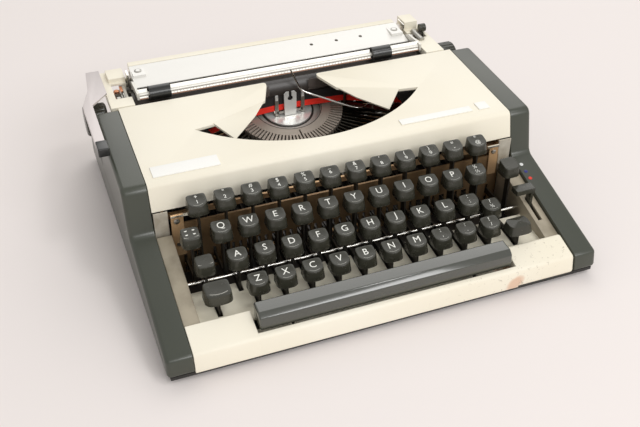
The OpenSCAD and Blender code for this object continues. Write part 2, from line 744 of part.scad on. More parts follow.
// Shallow cups with the spool spindles, held up by posts from the floor plate
module spool_cups() {
    color(steel) place() both_sides() {
        translate([spool_x, spool_y, cup_z]) {
            difference() {
                cylinder(h = cup_h, r = spool_r + 2.2, $fn = 64);
                translate([0, 0, cup_t]) cylinder(h = 10, r = spool_r + 1, $fn = 64);
            }
            cylinder(h = 15, r = 2.5, $fn = 48);
        }
        strip([spool_x + spool_r + 1.6, spool_y], [chassis_x - chassis_t, spool_y], cup_z, cup_z + cup_t, 12);
        strip([spool_x - spool_r - 1, spool_y + 6], guide_post, guide_arm_z, guide_arm_z + 1.2, 5);
        post(guide_post[0], guide_post[1], guide_arm_z, card_low + 4.6, post_r);
        slab([guide_post[0] - 2, guide_post[1], card_low + 1.2], [guide_post[0] + 2, card_y - fit, card_low + 4.6]);
    }
}

card_low = 64.4;
card_high = 73.5;
card_y = platen_y - platen_r - 1;
card_t = 0.6;
card_in = 16.5;
card_out = 82;

module card_holders() {
    color([0.3, 0.3, 0.3]) place() translate([print_x, 0, 0]) both_sides()
        slab([card_in, card_y, card_low], [card_out, card_y + card_t, card_high]);
}

// Square wire bent through a few places; each length starts a little before its bend
module wire(pts, r) {
    for (i = [0 : len(pts) - 2]) {
        d = pts[i + 1] - pts[i];
        back = i > 0 ? r / 2 : 0;
        translate(pts[i]) rotate([0, acos(d[2] / norm(d)), atan2(d[1], d[0])])
            translate([-r, -r, -back]) cube([2 * r, 2 * r, norm(d) + r / 2]);
    }
}

wire_foot = [62, 189.6];
wire_route = [[wire_foot[0], wire_foot[1], guide_arm_z + 1.25], [wire_foot[0], wire_foot[1], 53], [58, 186, 56], [44, 180, 58], [22, 198, 62],
    [7, 205.4, 68], [3.5, 206.4, 75], [-2.2, 206.4, 88]];

module ribbon_wire() { color(chrome) place() wire(wire_route, 0.7); }

// Carriage: end plates joined by a channel that rides on the rail
channel_gap = 0.3;
frame_back = 262;
plate_front = 211.5;
pin_r = 1.6;
space_pivot = [255.5, 71.5];
release_pivot = [244, 66];
stop_y = 254;
stop_z = 64;
stop_bar = 4;
hinge_y = 265.5;
hinge_z = 74;
rest_ears = [-118, 102];

module carriage_frame() {
    color(bronze) place() {
        difference() {
            for (x = [plate_left_x, plate_right_x - plate_t]) along_x(x, x + plate_t)
                polygon([[219, 39], [frame_back, 39], [frame_back, cap_z - cap_t], [plate_front, cap_z - cap_t],
                    [plate_front, 54], [219, 51]]);
            slab([-big, rail_y - channel_gap, 0], [big, rail_y + rail_w + channel_gap, rear_h + rail_t + channel_gap]);
            rod_x(-big, big, platen_y, platen_z, shaft_r + fit);
            rod_x(-big, big, feed_place[0], feed_place[1], feed_shaft_r + fit);
            rod_x(-big, big, bail_pivot_y, bail_pivot_z, pin_r + fit);
            rod_x(-big, 0, space_pivot[0], space_pivot[1], pin_r + fit);
            rod_x(0, big, release_pivot[0], release_pivot[1], pin_r + fit);
        }
        slab([plate_left_x + plate_t, rail_y - channel_gap - 2, rear_h + rail_t + channel_gap],
            [plate_right_x - plate_t, rail_y + rail_w + channel_gap + 2, rear_h + rail_t + channel_gap + 2]);
        for (y = [rail_y - channel_gap - 2, rail_y + rail_w + channel_gap])
            slab([plate_left_x + plate_t, y, rear_h + 2], [plate_right_x - plate_t, y + 2, rear_h + rail_t + channel_gap + 1]);
        slab([plate_left_x + plate_t, frame_back - plate_t, rear_h + rail_t + 2], [plate_right_x - plate_t, frame_back, cap_z - 6 - run_gap]);
        slab([plate_left_x + plate_t, stop_y - stop_bar / 2, stop_z - stop_bar / 2],
            [plate_right_x - plate_t, stop_y + stop_bar / 2, stop_z + stop_bar / 2]);
        for (x = rest_ears) {
            slab([x, frame_back - cut, hinge_z - 3], [x + 1.6, hinge_y + 2.6, hinge_z + 2.6]);
            rod_x(x, x + 8, hinge_y, hinge_z, 1.2);
        }
    }
}

feed_place = [227, 42.9];
feed_r = 4.8;
feed_shaft_r = 1.5;

module feed_rollers() {
    color(rubber) place() {
        rod_x(plate_left_x + 0.3, plate_right_x - 0.3, feed_place[0], feed_place[1], feed_shaft_r);
        for (x = [-92 : 50 : 58]) rod_x(x, x + 28, feed_place[0], feed_place[1], feed_r);
    }
}

platen_x0 = plate_left_x + plate_t + 2.6;

module platen() {
    color(rubber) place() {
        rod_x(platen_x0, platen_x0 + platen_len, platen_y, platen_z, platen_r);
        rod_x(-carriage_left - 3, carriage_right + 3, platen_y, platen_z, shaft_r);
    }
}

module platen_ratchet() {
    color(steel) place() difference() {
        translate([-133.5, platen_y, platen_z]) rotate([0, 90, 0]) union() {
            cylinder(h = 2, r = 9, $fn = 64);
            for (a = [0 : 18 : 342]) rotate([0, 0, a]) translate([8.6, -1, 0]) cube([1.8, 2, 2]);
        }
        rod_x(-140, -120, platen_y, platen_z, shaft_r);
    }
}

module platen_knobs() {
    color(moss) place() difference() {
        for (x = [-carriage_left - 2 - knob_len, carriage_right + 1]) rod_x(x, x + knob_len, platen_y, platen_z, knob_r);
        rod_x(-carriage_left - 3, carriage_right + 3, platen_y, platen_z, shaft_r);
    }
}

// Cream caps over both carriage ends
module end_cap(x0, x1, y0, y1) {
    difference() {
        slab([x0, y0, cap_z - 6], [x1, y1, cap_z]);
        slab([x0 + cap_t - fit, y0 + cap_t, cap_z - 6 - cut], [x1 - cap_t + fit, y1 - cap_t, cap_z - cap_t]);
    }
}

left_cap_in = -124;
right_cap_in = 117;
lever_stud_r = 2.9;
release_x = 128.2;
release_t = 1.6;

module carriage_end_covers() {
    color(cream) place() {
        difference() {
            union() {
                end_cap(-carriage_left, left_cap_in, 208, 266);
                slab([lever_pivot_x - 5, lever_pivot_y - 6, cap_z - 6], [-carriage_left + cut, lever_pivot_y + 6, cap_z]);
            }
            slab([-carriage_left + 6, 221, 0], [left_cap_in + cut, 245, big]);
            post(lever_pivot_x, lever_pivot_y, 0, big, lever_stud_r + fit);
        }
        slab([-137, 247, cap_z - cut], [left_cap_in, 263, cap_z + 3.4]);
        difference() {
            end_cap(right_cap_in, carriage_right, 208, 268);
            slab([right_cap_in - cut, 232, 0], [carriage_right - 6, 246, big]);
            slab([carriage_right - 6 - cut, release_pivot[0] - 9, 0], [release_x + release_t + 0.5, release_pivot[0] + 7, big]);
        }
        slab([right_cap_in, 252, cap_z - cut], [carriage_right - 4, 267, cap_z + 7]);
    }
}

// Curved sheet that carries the paper behind the platen
table_profile = [[233.5, 78.6], [246, 80.6], [261, 83.4], [261, 84.4], [246, 81.6], [233.3, 79.6]];

table_x = [-118.5, 112.6];
table_leg = 2;

module paper_table() {
    color("white") place() {
        along_x(table_x[0], table_x[1]) polygon(table_profile);
        for (x = [table_x[0], table_x[1] - table_leg])
            slab([x, stop_y - 4, stop_z + stop_bar / 2 + fit], [x + table_leg, stop_y + 2, 82]);
    }
}

module paper_rest() {
    color(cream) place() difference() {
        union() {
            slab([-118, hinge_y - 3, 79], [112, hinge_y + 3.5, 84]);
            for (x = rest_ears) slab([x + 2, hinge_y - 2.5, hinge_z - 2.5], [x + 8, hinge_y + 2.5, 80]);
        }
        for (x = rest_ears) rod_x(x, x + 10, hinge_y, hinge_z, 1.2 + fit);
    }
}

// Flat scale strip held by two arms
bail_arms = [-121, 113.2];
bail_arm_t = 1.8;
bail_strips = [[-120, -112.5], [-94.5, 70.5], [88.5, 114]];

module paper_bail() {
    color(chrome) place() {
        rod_x(bail_arms[0] + 1, bail_arms[1] + 1, bail_y, bail_z, 1.6);
        for (r = bail_strips) translate([0, bail_y, bail_z]) rotate([-32, 0, 0])
            slab([r[0], -0.6, -3.6], [r[1], 1, 4.2]);
        for (x = bail_arms) along_x(x, x + bail_arm_t) polygon([
            [bail_y - 3, bail_z - 2.5], [bail_y + 2, bail_z - 1.6], [232, 79.4], [bail_pivot_y - 3.2, bail_pivot_z],
            [bail_pivot_y, bail_pivot_z - 3], [bail_pivot_y + 3.2, bail_pivot_z], [bail_pivot_y + 2, bail_pivot_z + 5],
            [236, 84], [bail_y + 2, bail_z + 3], [bail_y - 3, bail_z + 3]]);
        rod_x(plate_left_x + 0.2, bail_arms[0] + 1, bail_pivot_y, bail_pivot_z, pin_r);
        rod_x(bail_arms[1] + 1, plate_right_x - 0.2, bail_pivot_y, bail_pivot_z, pin_r);
    }
}

module bail_rollers() {
    color(rubber) place() difference() {
        for (x = [-111.5, 71.5]) rod_x(x, x + 16, bail_y, bail_z, roller_r);
        rod_x(-119, 113, bail_y, bail_z, 1.6 + fit);
    }
}

// Flat arm that turns on a stud on the left cap and folds forward beside the panel
lever_w = 7;
grip_len = 12;

module return_lever() {
    color(chrome) place() {
        translate([0, 0, lever_z]) linear_extrude(1.6) polygon([
            [lever_pivot_x - 5, lever_pivot_y + 15], [lever_pivot_x + 5, lever_pivot_y + 15],
            [lever_pivot_x + 5, lever_pivot_y - 22], [-lever_out + lever_w, 208],
            [-lever_out + lever_w, lever_pivot_y - lever_reach + grip_len], [-lever_out, lever_pivot_y - lever_reach + grip_len],
            [-lever_out, 209], [lever_pivot_x - 8, lever_pivot_y - 14]]);
        post(lever_pivot_x, lever_pivot_y, cap_z - 6, lever_z + 1, lever_stud_r);
        slab([-lever_out, lever_pivot_y - lever_reach + grip_len, lever_z - 2.8], [-lever_out + 1.4, 208, lever_z + 1]);
    }
}

module return_lever_grip() {
    color(rubber) place() slab([-lever_out, lever_pivot_y - lever_reach, lever_z - 2.6],
        [-lever_out + lever_w + 1, lever_pivot_y - lever_reach + grip_len, lever_z + 4]);
}

module line_space_lever() {
    color(chrome) place() {
        along_x(-123.1, -121.7) polygon([[240, 76], [249, 76], [252.5, 69], [258.5, 69], [258.5, 76], [248.5, 82], [248.5, 88], [240, 88]]);
        rod_x(plate_left_x + 0.3, -122, space_pivot[0], space_pivot[1], pin_r);
    }
}

module paper_release_lever() {
    color(moss) place() {
        along_x(release_x, release_x + release_t) polygon([[release_pivot[0] - 3, release_pivot[1] - 3],
            [release_pivot[0] + 3, release_pivot[1] - 3], [release_pivot[0] + 3, 86], [release_pivot[0] - 3, 86]]);
        rod_x(release_x - 1, release_x + 4, release_pivot[0], 84, 3.4);
        rod_x(plate_right_x - plate_t + 0.3, release_x + 1, release_pivot[0], release_pivot[1], pin_r);
    }
}

// Stops that straddle the margin bar of the carriage
module margin_stop(x) {
    difference() {
        slab([x - 4, stop_y - 4, stop_z - 4], [x + 4, stop_y + 4, stop_z + 7]);
        slab([x - 5, stop_y - stop_bar / 2 - run_gap, stop_z - stop_bar / 2 - run_gap],
            [x + 5, stop_y + stop_bar / 2 + run_gap, stop_z + stop_bar / 2 + run_gap]);
    }
}

module margin_stop_left() { color(steel) place() margin_stop(-80); }
module margin_stop_right() { color(steel) place() margin_stop(76); }

module mainspring_drum() {
    color(steel) place() difference() {
        union() {
            post(drum_x, stud_y, drum_z, drum_z + 1.5, drum_r);
            post(drum_x, stud_y, drum_z + 1.5 - 0.1, drum_z + drum_h - 1.5, drum_r - 1.2);
            post(drum_x, stud_y, drum_z + drum_h - 1.6, drum_z + drum_h, drum_r);
        }
        post(drum_x, stud_y, 0, big, stud_r + fit);
    }
}

module escapement_wheel() {
    color(steel) place() difference() {
        union() {
            post(wheel_x, stud_y, wheel_z, wheel_z + wheel_h, wheel_r);
            for (a = [0 : 24 : 336]) translate([wheel_x, stud_y, wheel_z]) rotate([0, 0, a])
                linear_extrude(wheel_h) polygon([[wheel_r - 1, -1.2], [wheel_r + 1.6, 0.8], [wheel_r - 1, 0.8]]);
        }
        post(wheel_x, stud_y, 0, big, stud_r + fit);
    }
}

module bell() {
    color(chrome) place() translate([bell_x, stud_y, bell_z]) difference() {
        rotate_extrude($fn = 64) polygon([[0, 7], [4, 6.8], [7, 5], [8.4, 2.6], [bell_r, 0], [bell_r - 1, 0],
            [7.3, 2.4], [6, 4.2], [3.6, 5.6], [2.4, 5.8], [2.4, 0.6], [0, 0.6]]);
    }
}

base_pan();
rubber_feet();
casing_screws();
side_panel_left();
side_panel_right();
front_apron();
keyboard_deck();
top_cover();
name_plates();
back_panel();
chassis();
carriage_rail();
key_comb();
fulcrum_rod();
keys_left_little();
keys_left_ring();
keys_left_middle();
keys_left_index();
key_h();
keys_right_index();
keys_right_middle();
keys_right_ring();
keys_right_little();
space_bar();
shift_keys();
shift_lock();
margin_release_key();
backspace_key();
ribbon_selector();
segment();
type_bars();
type_bar_h();
type_guide();
ribbon_vibrator();
ribbon();
ribbon_span();
ribbon_spool_left();
ribbon_spool_right();
spool_cups();
card_holders();
ribbon_wire();
carriage_frame();
carriage_end_covers();
platen();
platen_knobs();
platen_ratchet();
feed_rollers();
paper_table();
paper_rest();
paper_bail();
bail_rollers();
return_lever();
return_lever_grip();
line_space_lever();
paper_release_lever();
margin_stop_left();
margin_stop_right();
mainspring_drum();
escapement_wheel();
bell();
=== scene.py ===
# %% [markdown]
# # A portable typewriter, dressed for its portrait
# The imported CAD model gives every piece its true place and size. This lesson adds what a
# typewriter looks like: moulded covers with soft edges, dished key tops with white letters,
# a steel type basket, and a carriage with rubber, paint and chrome. The camera comes first.

# %% Load the frame and keep its size
import json

import bmesh
import bpy
import numpy as np
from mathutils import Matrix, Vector

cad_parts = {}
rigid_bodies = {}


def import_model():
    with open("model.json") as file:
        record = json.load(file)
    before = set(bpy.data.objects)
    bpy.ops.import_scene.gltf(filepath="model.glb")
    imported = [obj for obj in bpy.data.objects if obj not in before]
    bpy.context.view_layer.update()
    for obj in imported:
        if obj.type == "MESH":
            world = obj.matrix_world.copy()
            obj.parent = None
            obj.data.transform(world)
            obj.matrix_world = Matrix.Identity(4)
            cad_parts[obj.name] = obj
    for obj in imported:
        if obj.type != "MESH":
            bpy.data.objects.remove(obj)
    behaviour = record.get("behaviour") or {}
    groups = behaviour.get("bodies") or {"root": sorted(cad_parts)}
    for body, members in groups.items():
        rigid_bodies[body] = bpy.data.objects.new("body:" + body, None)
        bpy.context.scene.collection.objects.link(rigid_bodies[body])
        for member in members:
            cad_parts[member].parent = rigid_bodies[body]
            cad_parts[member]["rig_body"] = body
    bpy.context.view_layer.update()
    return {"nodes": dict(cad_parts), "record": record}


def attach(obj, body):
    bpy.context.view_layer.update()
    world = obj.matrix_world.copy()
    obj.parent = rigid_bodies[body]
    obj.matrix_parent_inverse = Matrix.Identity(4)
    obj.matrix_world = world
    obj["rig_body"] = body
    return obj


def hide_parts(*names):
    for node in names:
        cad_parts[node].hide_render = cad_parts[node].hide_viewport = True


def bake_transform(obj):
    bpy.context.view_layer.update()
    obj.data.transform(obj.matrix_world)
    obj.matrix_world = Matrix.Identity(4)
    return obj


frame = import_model()
MM = 0.001
SHIFT = np.array([3.5, -139.0, 3.0])


def place(points):
    """Machine millimetres to metres in the part's frame: add the shift, then divide by a thousand."""
    return (np.asarray(points, dtype=float) + SHIFT) * MM


# %% [markdown]
# The photographer stood to the left of the middle and looked down at about 37 degrees. The
# camera's place was solved from the key pitch, the panel edges and the carriage.

# %% Camera
scene = bpy.context.scene
camera = bpy.data.objects.new("camera", bpy.data.cameras.new("camera"))
scene.collection.objects.link(camera)
camera.data.sensor_width = 36.0
camera.data.lens = 51.2
camera.location = (-0.2000, -0.5345, 0.4267)
aim = Vector((-0.01565, -0.04431, 0.033)) - camera.location
camera.rotation_euler = aim.to_track_quat("-Z", "Y").to_euler()
scene.camera = camera
scene.view_settings.view_transform = "Standard"
print("camera to the middle of the machine:", round(aim.length, 3), "m")

# %% [markdown]
# A material here is written as a small recipe. Numbers that vary over a surface are sums of
# sockets, so one class wraps a socket and turns each operator into a Math node.

# %% Sums of sockets
class Field:
    """A value that varies over a surface; arithmetic on it adds Math nodes."""

    def __init__(self, recipe, socket):
        self.recipe = recipe
        self.socket = socket

    def _math(self, operation, *values):
        return self.recipe.node("ShaderNodeMath", {"operation": operation}, *values)

    def __add__(self, other):
        return self._math("ADD", self, other)

    def __sub__(self, other):
        return self._math("SUBTRACT", self, other)

    def __rsub__(self, other):
        return self._math("SUBTRACT", other, self)

    def __mul__(self, other):
        return self._math("MULTIPLY", self, other)

    def __pow__(self, other):
        return self._math("POWER", self, other)

    def size(self):
        return self._math("ABSOLUTE", self)

    def above(self, limit):
        return self._math("GREATER_THAN", self, limit)

    def below(self, limit):
        return self._math("LESS_THAN", self, limit)

    def between(self, low, high):
        """0 below low, 1 above high, straight in between."""
        return self.recipe.node("ShaderNodeMapRange", {"clamp": True}, self, low, high, 0.0, 1.0)

    __radd__ = __add__
    __rmul__ = __mul__


def tint(red, green, blue):
    """A colour as seen on screen, 0 to 255, to the linear colour that a shader takes."""
    share = np.array([red, green, blue]) / 255.0
    linear = np.where(share <= 0.04045, share / 12.92, ((share + 0.055) / 1.055) ** 2.4)
    return tuple(float(c) for c in linear) + (1.0,)


class Recipe:
    """One finish: a Principled shader whose constants are set on its own sockets."""

    def __init__(self, name, colour, rough, metal=0.0, coat=0.0, specular=0.5):
        self.material = bpy.data.materials.new(name)
        self.material.use_nodes = True
        self.tree = self.material.node_tree
        self.bsdf = self.tree.nodes["Principled BSDF"]
        self.bsdf.inputs["Base Color"].default_value = tint(*colour)
        self.bsdf.inputs["Roughness"].default_value = rough
        self.bsdf.inputs["Metallic"].default_value = metal
        self.bsdf.inputs["Coat Weight"].default_value = coat
        self.bsdf.inputs["Coat Roughness"].default_value = 0.08
        self.bsdf.inputs["Specular IOR Level"].default_value = specular

    def node(self, kind, settings, *values, out=0, **named):
        made = self.tree.nodes.new(kind)
        for key, value in settings.items():
            setattr(made, key, value)
        for key, value in list(enumerate(values)) + list(named.items()):
            target = made.inputs[key]
            if isinstance(value, Field):
                self.tree.links.new(value.socket, target)
            else:
                target.default_value = value
        return Field(self, made.outputs[out])

    def where(self):
        return self.node("ShaderNodeTexCoord", {}, out="Object")

    def axes(self):
        """The three coordinates of a surface point, in metres of the part's frame."""
        split = self.node("ShaderNodeSeparateXYZ", {}, self.where())
        return [Field(self, split.socket.node.outputs[axis]) for axis in "XYZ"]

    def noise(self, scale, detail=3.0, rough=0.55, stretch=None):
        spot = self.where()
        if stretch:
            spot = self.node("ShaderNodeMapping", {}, spot, Scale=stretch)
        return self.node("ShaderNodeTexNoise", {}, Vector=spot, Scale=scale, Detail=detail, Roughness=rough)

    def blend(self, amount, first, second):
        """first where amount is 0, second where it is 1."""
        made = self.tree.nodes.new("ShaderNodeMix")
        made.data_type = "RGBA"
        for socket, value in ((made.inputs[0], amount), (made.inputs[6], first), (made.inputs[7], second)):
            if isinstance(value, Field):
                self.tree.links.new(value.socket, socket)
            else:
                socket.default_value = tint(*value)
        return Field(self, made.outputs[2])

    def paint(self, name, field):
        self.tree.links.new(field.socket, self.bsdf.inputs[name])

    def bump(self, height, strength, distance):
        field = self.node("ShaderNodeBump", {}, Height=height, Strength=strength, Distance=distance)
        self.tree.links.new(field.socket, self.bsdf.inputs["Normal"])


print("white on screen is", tint(255, 255, 255))

# %% [markdown]
# The covers are injection moulded in a warm cream that has yellowed a little. The colour wanders
# very slightly, and the front apron has dirt specks and one worn stain, so those are painted
# by noise masks that exist only near the front.

# %% Cream mouldings
cream = Recipe("cream_plastic", (244, 238, 220), 0.40, specular=0.35)
side, depth, height = cream.axes()
patchy = cream.noise(9.0, 2.0).between(0.35, 0.7)
fine = cream.noise(900.0, 2.0)
near_front = 1.0 - depth.between(-0.118, -0.112)
right_half = side.between(0.02, 0.09)
specks = cream.noise(300.0, 4.0, 0.75).between(0.60, 0.68) * near_front * right_half
warm = cream.blend(patchy * 0.6, (245, 239, 222), (238, 229, 206))
STAIN_X, STAIN_Z = 0.0934, 0.0098
across = side - STAIN_X
up = height - STAIN_Z
round_spot = across * across + up * up * 1.9 - across * up * 1.2
blot = (1.0 - (round_spot + cream.noise(180.0) * 0.00004).between(0.000035, 0.00007)) * near_front
stained = cream.blend(blot * 0.75, warm, (219, 176, 146))
cream.paint("Base Color", cream.blend(specks * 0.6, stained, (128, 112, 92)))
cream.paint("Roughness", fine * 0.10 + 0.36)
cream.bump(fine, 0.05, 0.0002)
print("made", cream.material.name)

# %% [markdown]
# The side panels and keys are a dark moss-grey. The panels have a satin moulded skin, and
# the keys are polished, so they share a colour but not a roughness.

# %% Dark panels and keys
panel = Recipe("moss_panel", (66, 69, 58), 0.34, specular=0.7)
grain = panel.noise(1500.0, 2.0)
panel.paint("Base Color", panel.blend(panel.noise(14.0, 2.0).between(0.3, 0.7), (56, 60, 50), (63, 66, 55)))
panel.paint("Roughness", grain * 0.10 + 0.26)
panel.bump(grain, 0.05, 0.0002)

key_plastic = Recipe("key_plastic", (66, 65, 56), 0.28, specular=0.5)
rub = key_plastic.noise(260.0, 2.0)
key_plastic.paint("Base Color", key_plastic.blend(rub, (50, 50, 42), (58, 57, 48)))
key_plastic.paint("Roughness", rub * 0.12 + 0.20)
bar_plastic = Recipe("bar_plastic", (58, 60, 52), 0.14, coat=0.6, specular=0.9)

legend_white = Recipe("legend_white", (244, 244, 236), 0.5)
# A pale grey that paints the highlight along the front rim of each key's dish.
painted_highlight_grey = Recipe("painted_highlight_grey", (176, 175, 166), 0.3)
lever_black = Recipe("lever_black", (44, 41, 36), 0.42, metal=0.4)
print("made", panel.material.name, key_plastic.material.name)

# %% [markdown]
# Metal is a dark or bright metallic colour with a little streak in its roughness. Bare steel,
# chrome and the bronze-coloured chassis differ only in numbers, so one helper makes them all.

# %% Metals
def metal(name, colour, rough, streak=0.10, scale=(30.0, 400.0, 400.0)):
    """Roughness is rough plus streak times a noise that is stretched along X."""
    recipe = Recipe(name, colour, rough, metal=1.0)
    recipe.paint("Roughness", recipe.noise(1.0, 3.0, 0.6, scale) * streak + (rough - streak / 2))
    return recipe


steel = metal("bare_steel", (176, 174, 168), 0.34)
dark_steel = metal("dark_steel", (92, 88, 80), 0.42)
chrome = metal("bright_chrome", (235, 233, 228), 0.16, 0.05)
bronze = metal("bronze_plate", (206, 170, 128), 0.42, 0.15)
bronze.bsdf.inputs["Metallic"].default_value = 0.6
dark_bronze = metal("comb_bronze", (146, 118, 86), 0.42, 0.15)
dark_bronze.bsdf.inputs["Metallic"].default_value = 0.7
copper = metal("copper_part", (214, 150, 116), 0.30, 0.10)
lever_grey = Recipe("lever_metal", (207, 199, 197), 0.34, metal=0.35)
zinc = metal("zinc_frame", (176, 172, 162), 0.44, 0.12)
zinc.bsdf.inputs["Metallic"].default_value = 0.5
print("made seven metals and a lever finish")

# %% [markdown]
# The segment is one casting with turned steps, and each step takes the light differently. Its
# colour is chosen by the distance from the basket's own axis, which leans back by 12 degrees, so
# that light and shade on the steps are painted into its colour.

# %% Turned rings of the type basket
PRINT_X, BASKET_Y, BASKET_Z = -2.0, 216.43, 46.49
BASKET = place([PRINT_X, BASKET_Y, BASKET_Z])
TILT = np.radians(12.0)
HUB_R, GROOVE_R, SLOTS_R = 0.0218, 0.0272, 0.0280
ring_grey = Recipe("segment_rings", (196, 186, 172), 0.42, metal=0.35)
side, depth, height = ring_grey.axes()
along_tilt = (depth - BASKET[1]) * np.cos(TILT) + (height - BASKET[2]) * np.sin(TILT)
off_side = side - BASKET[0]
reach = (off_side * off_side + along_tilt * along_tilt) ** 0.5
# Painted light and shade: darker and lighter rings by distance from the axis.
inner = ring_grey.blend(reach.above(GROOVE_R), (190, 184, 176), (74, 68, 62))
bands = ring_grey.blend(reach.above(SLOTS_R), inner, (170, 159, 147))
ring_grey.paint("Base Color", ring_grey.blend(reach.below(HUB_R), bands, (58, 54, 50)))
ring_grey.paint("Roughness", ring_grey.noise(700.0, 2.0) * 0.25 + 0.30)
print("axis of the basket at", BASKET)

# %% [markdown]
# Paint, rubber, ribbon and the smoked plastic of the card holders are plain recipes. The ribbon
# is black in its upper half and red in its lower half, so it has one recipe for each.

# %% Paints, rubbers and the ribbon
table_white = Recipe("table_white", (240, 238, 232), 0.26, coat=0.3)
scale_pale = Recipe("scale_pale", (228, 225, 217), 0.36, metal=0.3)
plate_white = Recipe("plate_white", (250, 250, 246), 0.30, metal=0.5)
badge_white = Recipe("badge_white", (244, 243, 238), 0.3)
deck_cream = Recipe("deck_cream", (232, 225, 203), 0.45)
side, depth, height = deck_cream.axes()
smudge = deck_cream.noise(40.0, 4.0).between(0.42, 0.72)
plate_colour = deck_cream.blend(smudge * 0.35, (246, 240, 220), (200, 188, 162))
cheek_colour = deck_cream.blend(smudge * 0.8, (172, 162, 142), (122, 112, 94))
on_cheek = (side - SHIFT[0] * MM).size().above(0.1263)
deck_cream.paint("Base Color", deck_cream.blend(on_cheek, plate_colour, cheek_colour))
pan_black = Recipe("pan_black", (40, 38, 36), 0.5)
rubber = Recipe("black_rubber", (30, 31, 30), 0.30, coat=0.3)
platen_rubber = Recipe("platen_rubber", (56, 50, 46), 0.33)
ribbon_red = Recipe("ribbon_red", (252, 50, 34), 0.6)
ribbon_black = Recipe("ribbon_black", (34, 30, 29), 0.6)
smoked = Recipe("smoked_clear", (122, 112, 106), 0.12)
smoked.bsdf.inputs["Alpha"].default_value = 0.42
edge_brown = Recipe("scale_edge", (150, 106, 78), 0.5)
print("paints, rubbers and two ribbon inks made")

# %% [markdown]
# Every CAD piece takes its finish from the record's slot, so the first pass is a plain table
# from slot to finish.

# %% Finishes on the CAD pieces
finishes = {
    "cream": cream, "panel": panel, "key": key_plastic, "steel": steel, "chrome": chrome,
    "bronze": bronze, "segment": ring_grey, "lever": lever_grey, "pan": pan_black,
    "rubber": rubber, "deck": deck_cream, "plate_white": plate_white, "chassis": bronze,
    "ribbon": ribbon_red, "clear": smoked, "platen": platen_rubber, "table_white": table_white,
}
slot_of = {row["node"]: row["material_slot"] for row in frame["record"]["subparts"]}
for name, node in frame["nodes"].items():
    node.data.materials.clear()
    node.data.materials.append(finishes[slot_of[name]].material)
for name in ("type_bars", "type_bar_h", "spool_cups"):
    frame["nodes"][name].data.materials[0] = dark_steel.material
frame["nodes"]["carriage_frame"].data.materials[0] = zinc.material
frame["nodes"]["key_comb"].data.materials[0] = dark_bronze.material
frame["nodes"]["name_plates"].data.materials[0] = badge_white.material
frame["nodes"]["paper_bail"].data.materials[0] = scale_pale.material
print("finished", len(frame["nodes"]), "CAD pieces")

# %% [markdown]
# CAD edges are knife sharp, and nothing real is. A copy of a CAD mesh has its loose triangles
# merged, flat faces joined again, and then a Bevel rounds every edge by a stated radius. Some
# edges are rounder than the rest, so a rule may give them a weight of their own.

# %% Soft edges for moulded pieces
def body_of_node(name):
    return frame["nodes"][name]["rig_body"]


def add_bevel(piece, name, radius, segments, method):
    bevel = piece.modifiers.new(name, "BEVEL")
    bevel.width = radius * MM
    bevel.segments = segments
    bevel.limit_method = method
    bevel.angle_limit = 0.5
    bevel.harden_normals = method == "ANGLE"
    return bevel


def soften(name, radius, segments=3, big=None, big_radius=4.0):
    """A merged copy of a CAD piece with its edges rounded by radius, in millimetres. big(a, b)
    is true for edges between machine points a and b that are rounded by big_radius instead."""
    source = frame["nodes"][name]
    form = bmesh.new()
    form.from_mesh(source.data)
    bmesh.ops.remove_doubles(form, verts=form.verts, dist=0.000005)
    bmesh.ops.dissolve_limit(form, angle_limit=0.02, verts=form.verts, edges=form.edges)
    if big:
        weight = form.edges.layers.float.new("bevel_weight_edge")
        for edge in form.edges:
            ends = [np.array(v.co) / MM - SHIFT for v in edge.verts]
            edge[weight] = float(big(*ends))
    mesh = bpy.data.meshes.new(name + "_soft")
    form.to_mesh(mesh)
    form.free()
    copy = bpy.data.objects.new(name + "_soft", mesh)
    scene.collection.objects.link(copy)
    mesh.materials.append(source.data.materials[0])
    if big:
        add_bevel(copy, "crease", big_radius, 6, "WEIGHT")
    add_bevel(copy, "edge", radius, segments, "ANGLE")
    mesh.shade_smooth()
    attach(copy, body_of_node(name))
    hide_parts(name)
    return copy


RISER_Y, RISER_Z = 106.4, 75.5


def cover_crease(a, b):
    """The long front crease of the cover, and the upright edges at the tips of its two wings."""
    low = min(a[2], b[2])
    along = abs(a[1] - RISER_Y) < 0.2 and abs(b[1] - RISER_Y) < 0.2 and low > RISER_Z - 0.5
    upright = abs(a[0] - b[0]) + abs(a[1] - b[1]) < 0.05
    at_tip = a[1] > 195 and abs(a[0] - PRINT_X) < 25
    return along or (upright and at_tip) * 0.7


soften("top_cover", 0.7, big=cover_crease, big_radius=3.6)
soft_edges = {
    "keyboard_deck": 0.5, "back_panel": 0.6, "carriage_end_covers": 0.7, "paper_rest": 0.9,
    "paper_table": 0.25, "return_lever": 0.3, "return_lever_grip": 0.9, "ribbon_selector": 0.8,
    "name_plates": 0.15,
}
for name, radius in soft_edges.items():
    soften(name, radius)
print("softened", 1 + len(soft_edges), "pieces")

# %% [markdown]
# Most new pieces are outlines pushed along X with rounded ends. An outline's corners are swapped
# for arcs first. Each ring near an end is the outline moved inwards a little, as on a cushion.

# %% Rounded bars from outlines
def fillet(corners, radii, steps=6):
    """Every corner becomes an arc about the point at r / sin(half the corner's angle) inwards;
    a point of the arc is centre + (sin((1-t)w) u + sin(tw) v) / sin(w)."""
    corners = np.asarray(corners, dtype=float)
    points = []
    for i, here in enumerate(corners):
        back = corners[i - 1] - here
        ahead = corners[(i + 1) % len(corners)] - here
        back, ahead = back / np.linalg.norm(back), ahead / np.linalg.norm(ahead)
        half = 0.5 * np.arccos(np.clip(back @ ahead, -1, 1))
        centre = here + (back + ahead) / np.linalg.norm(back + ahead) * radii[i] / np.sin(half)
        u = here + back * radii[i] / np.tan(half) - centre
        v = here + ahead * radii[i] / np.tan(half) - centre
        sweep = np.pi - 2 * half
        t = np.linspace(0, 1, steps)[:, None]
        points.append(centre + (np.sin((1 - t) * sweep) * u + np.sin(t * sweep) * v) / np.sin(sweep))
    return np.vstack(points)


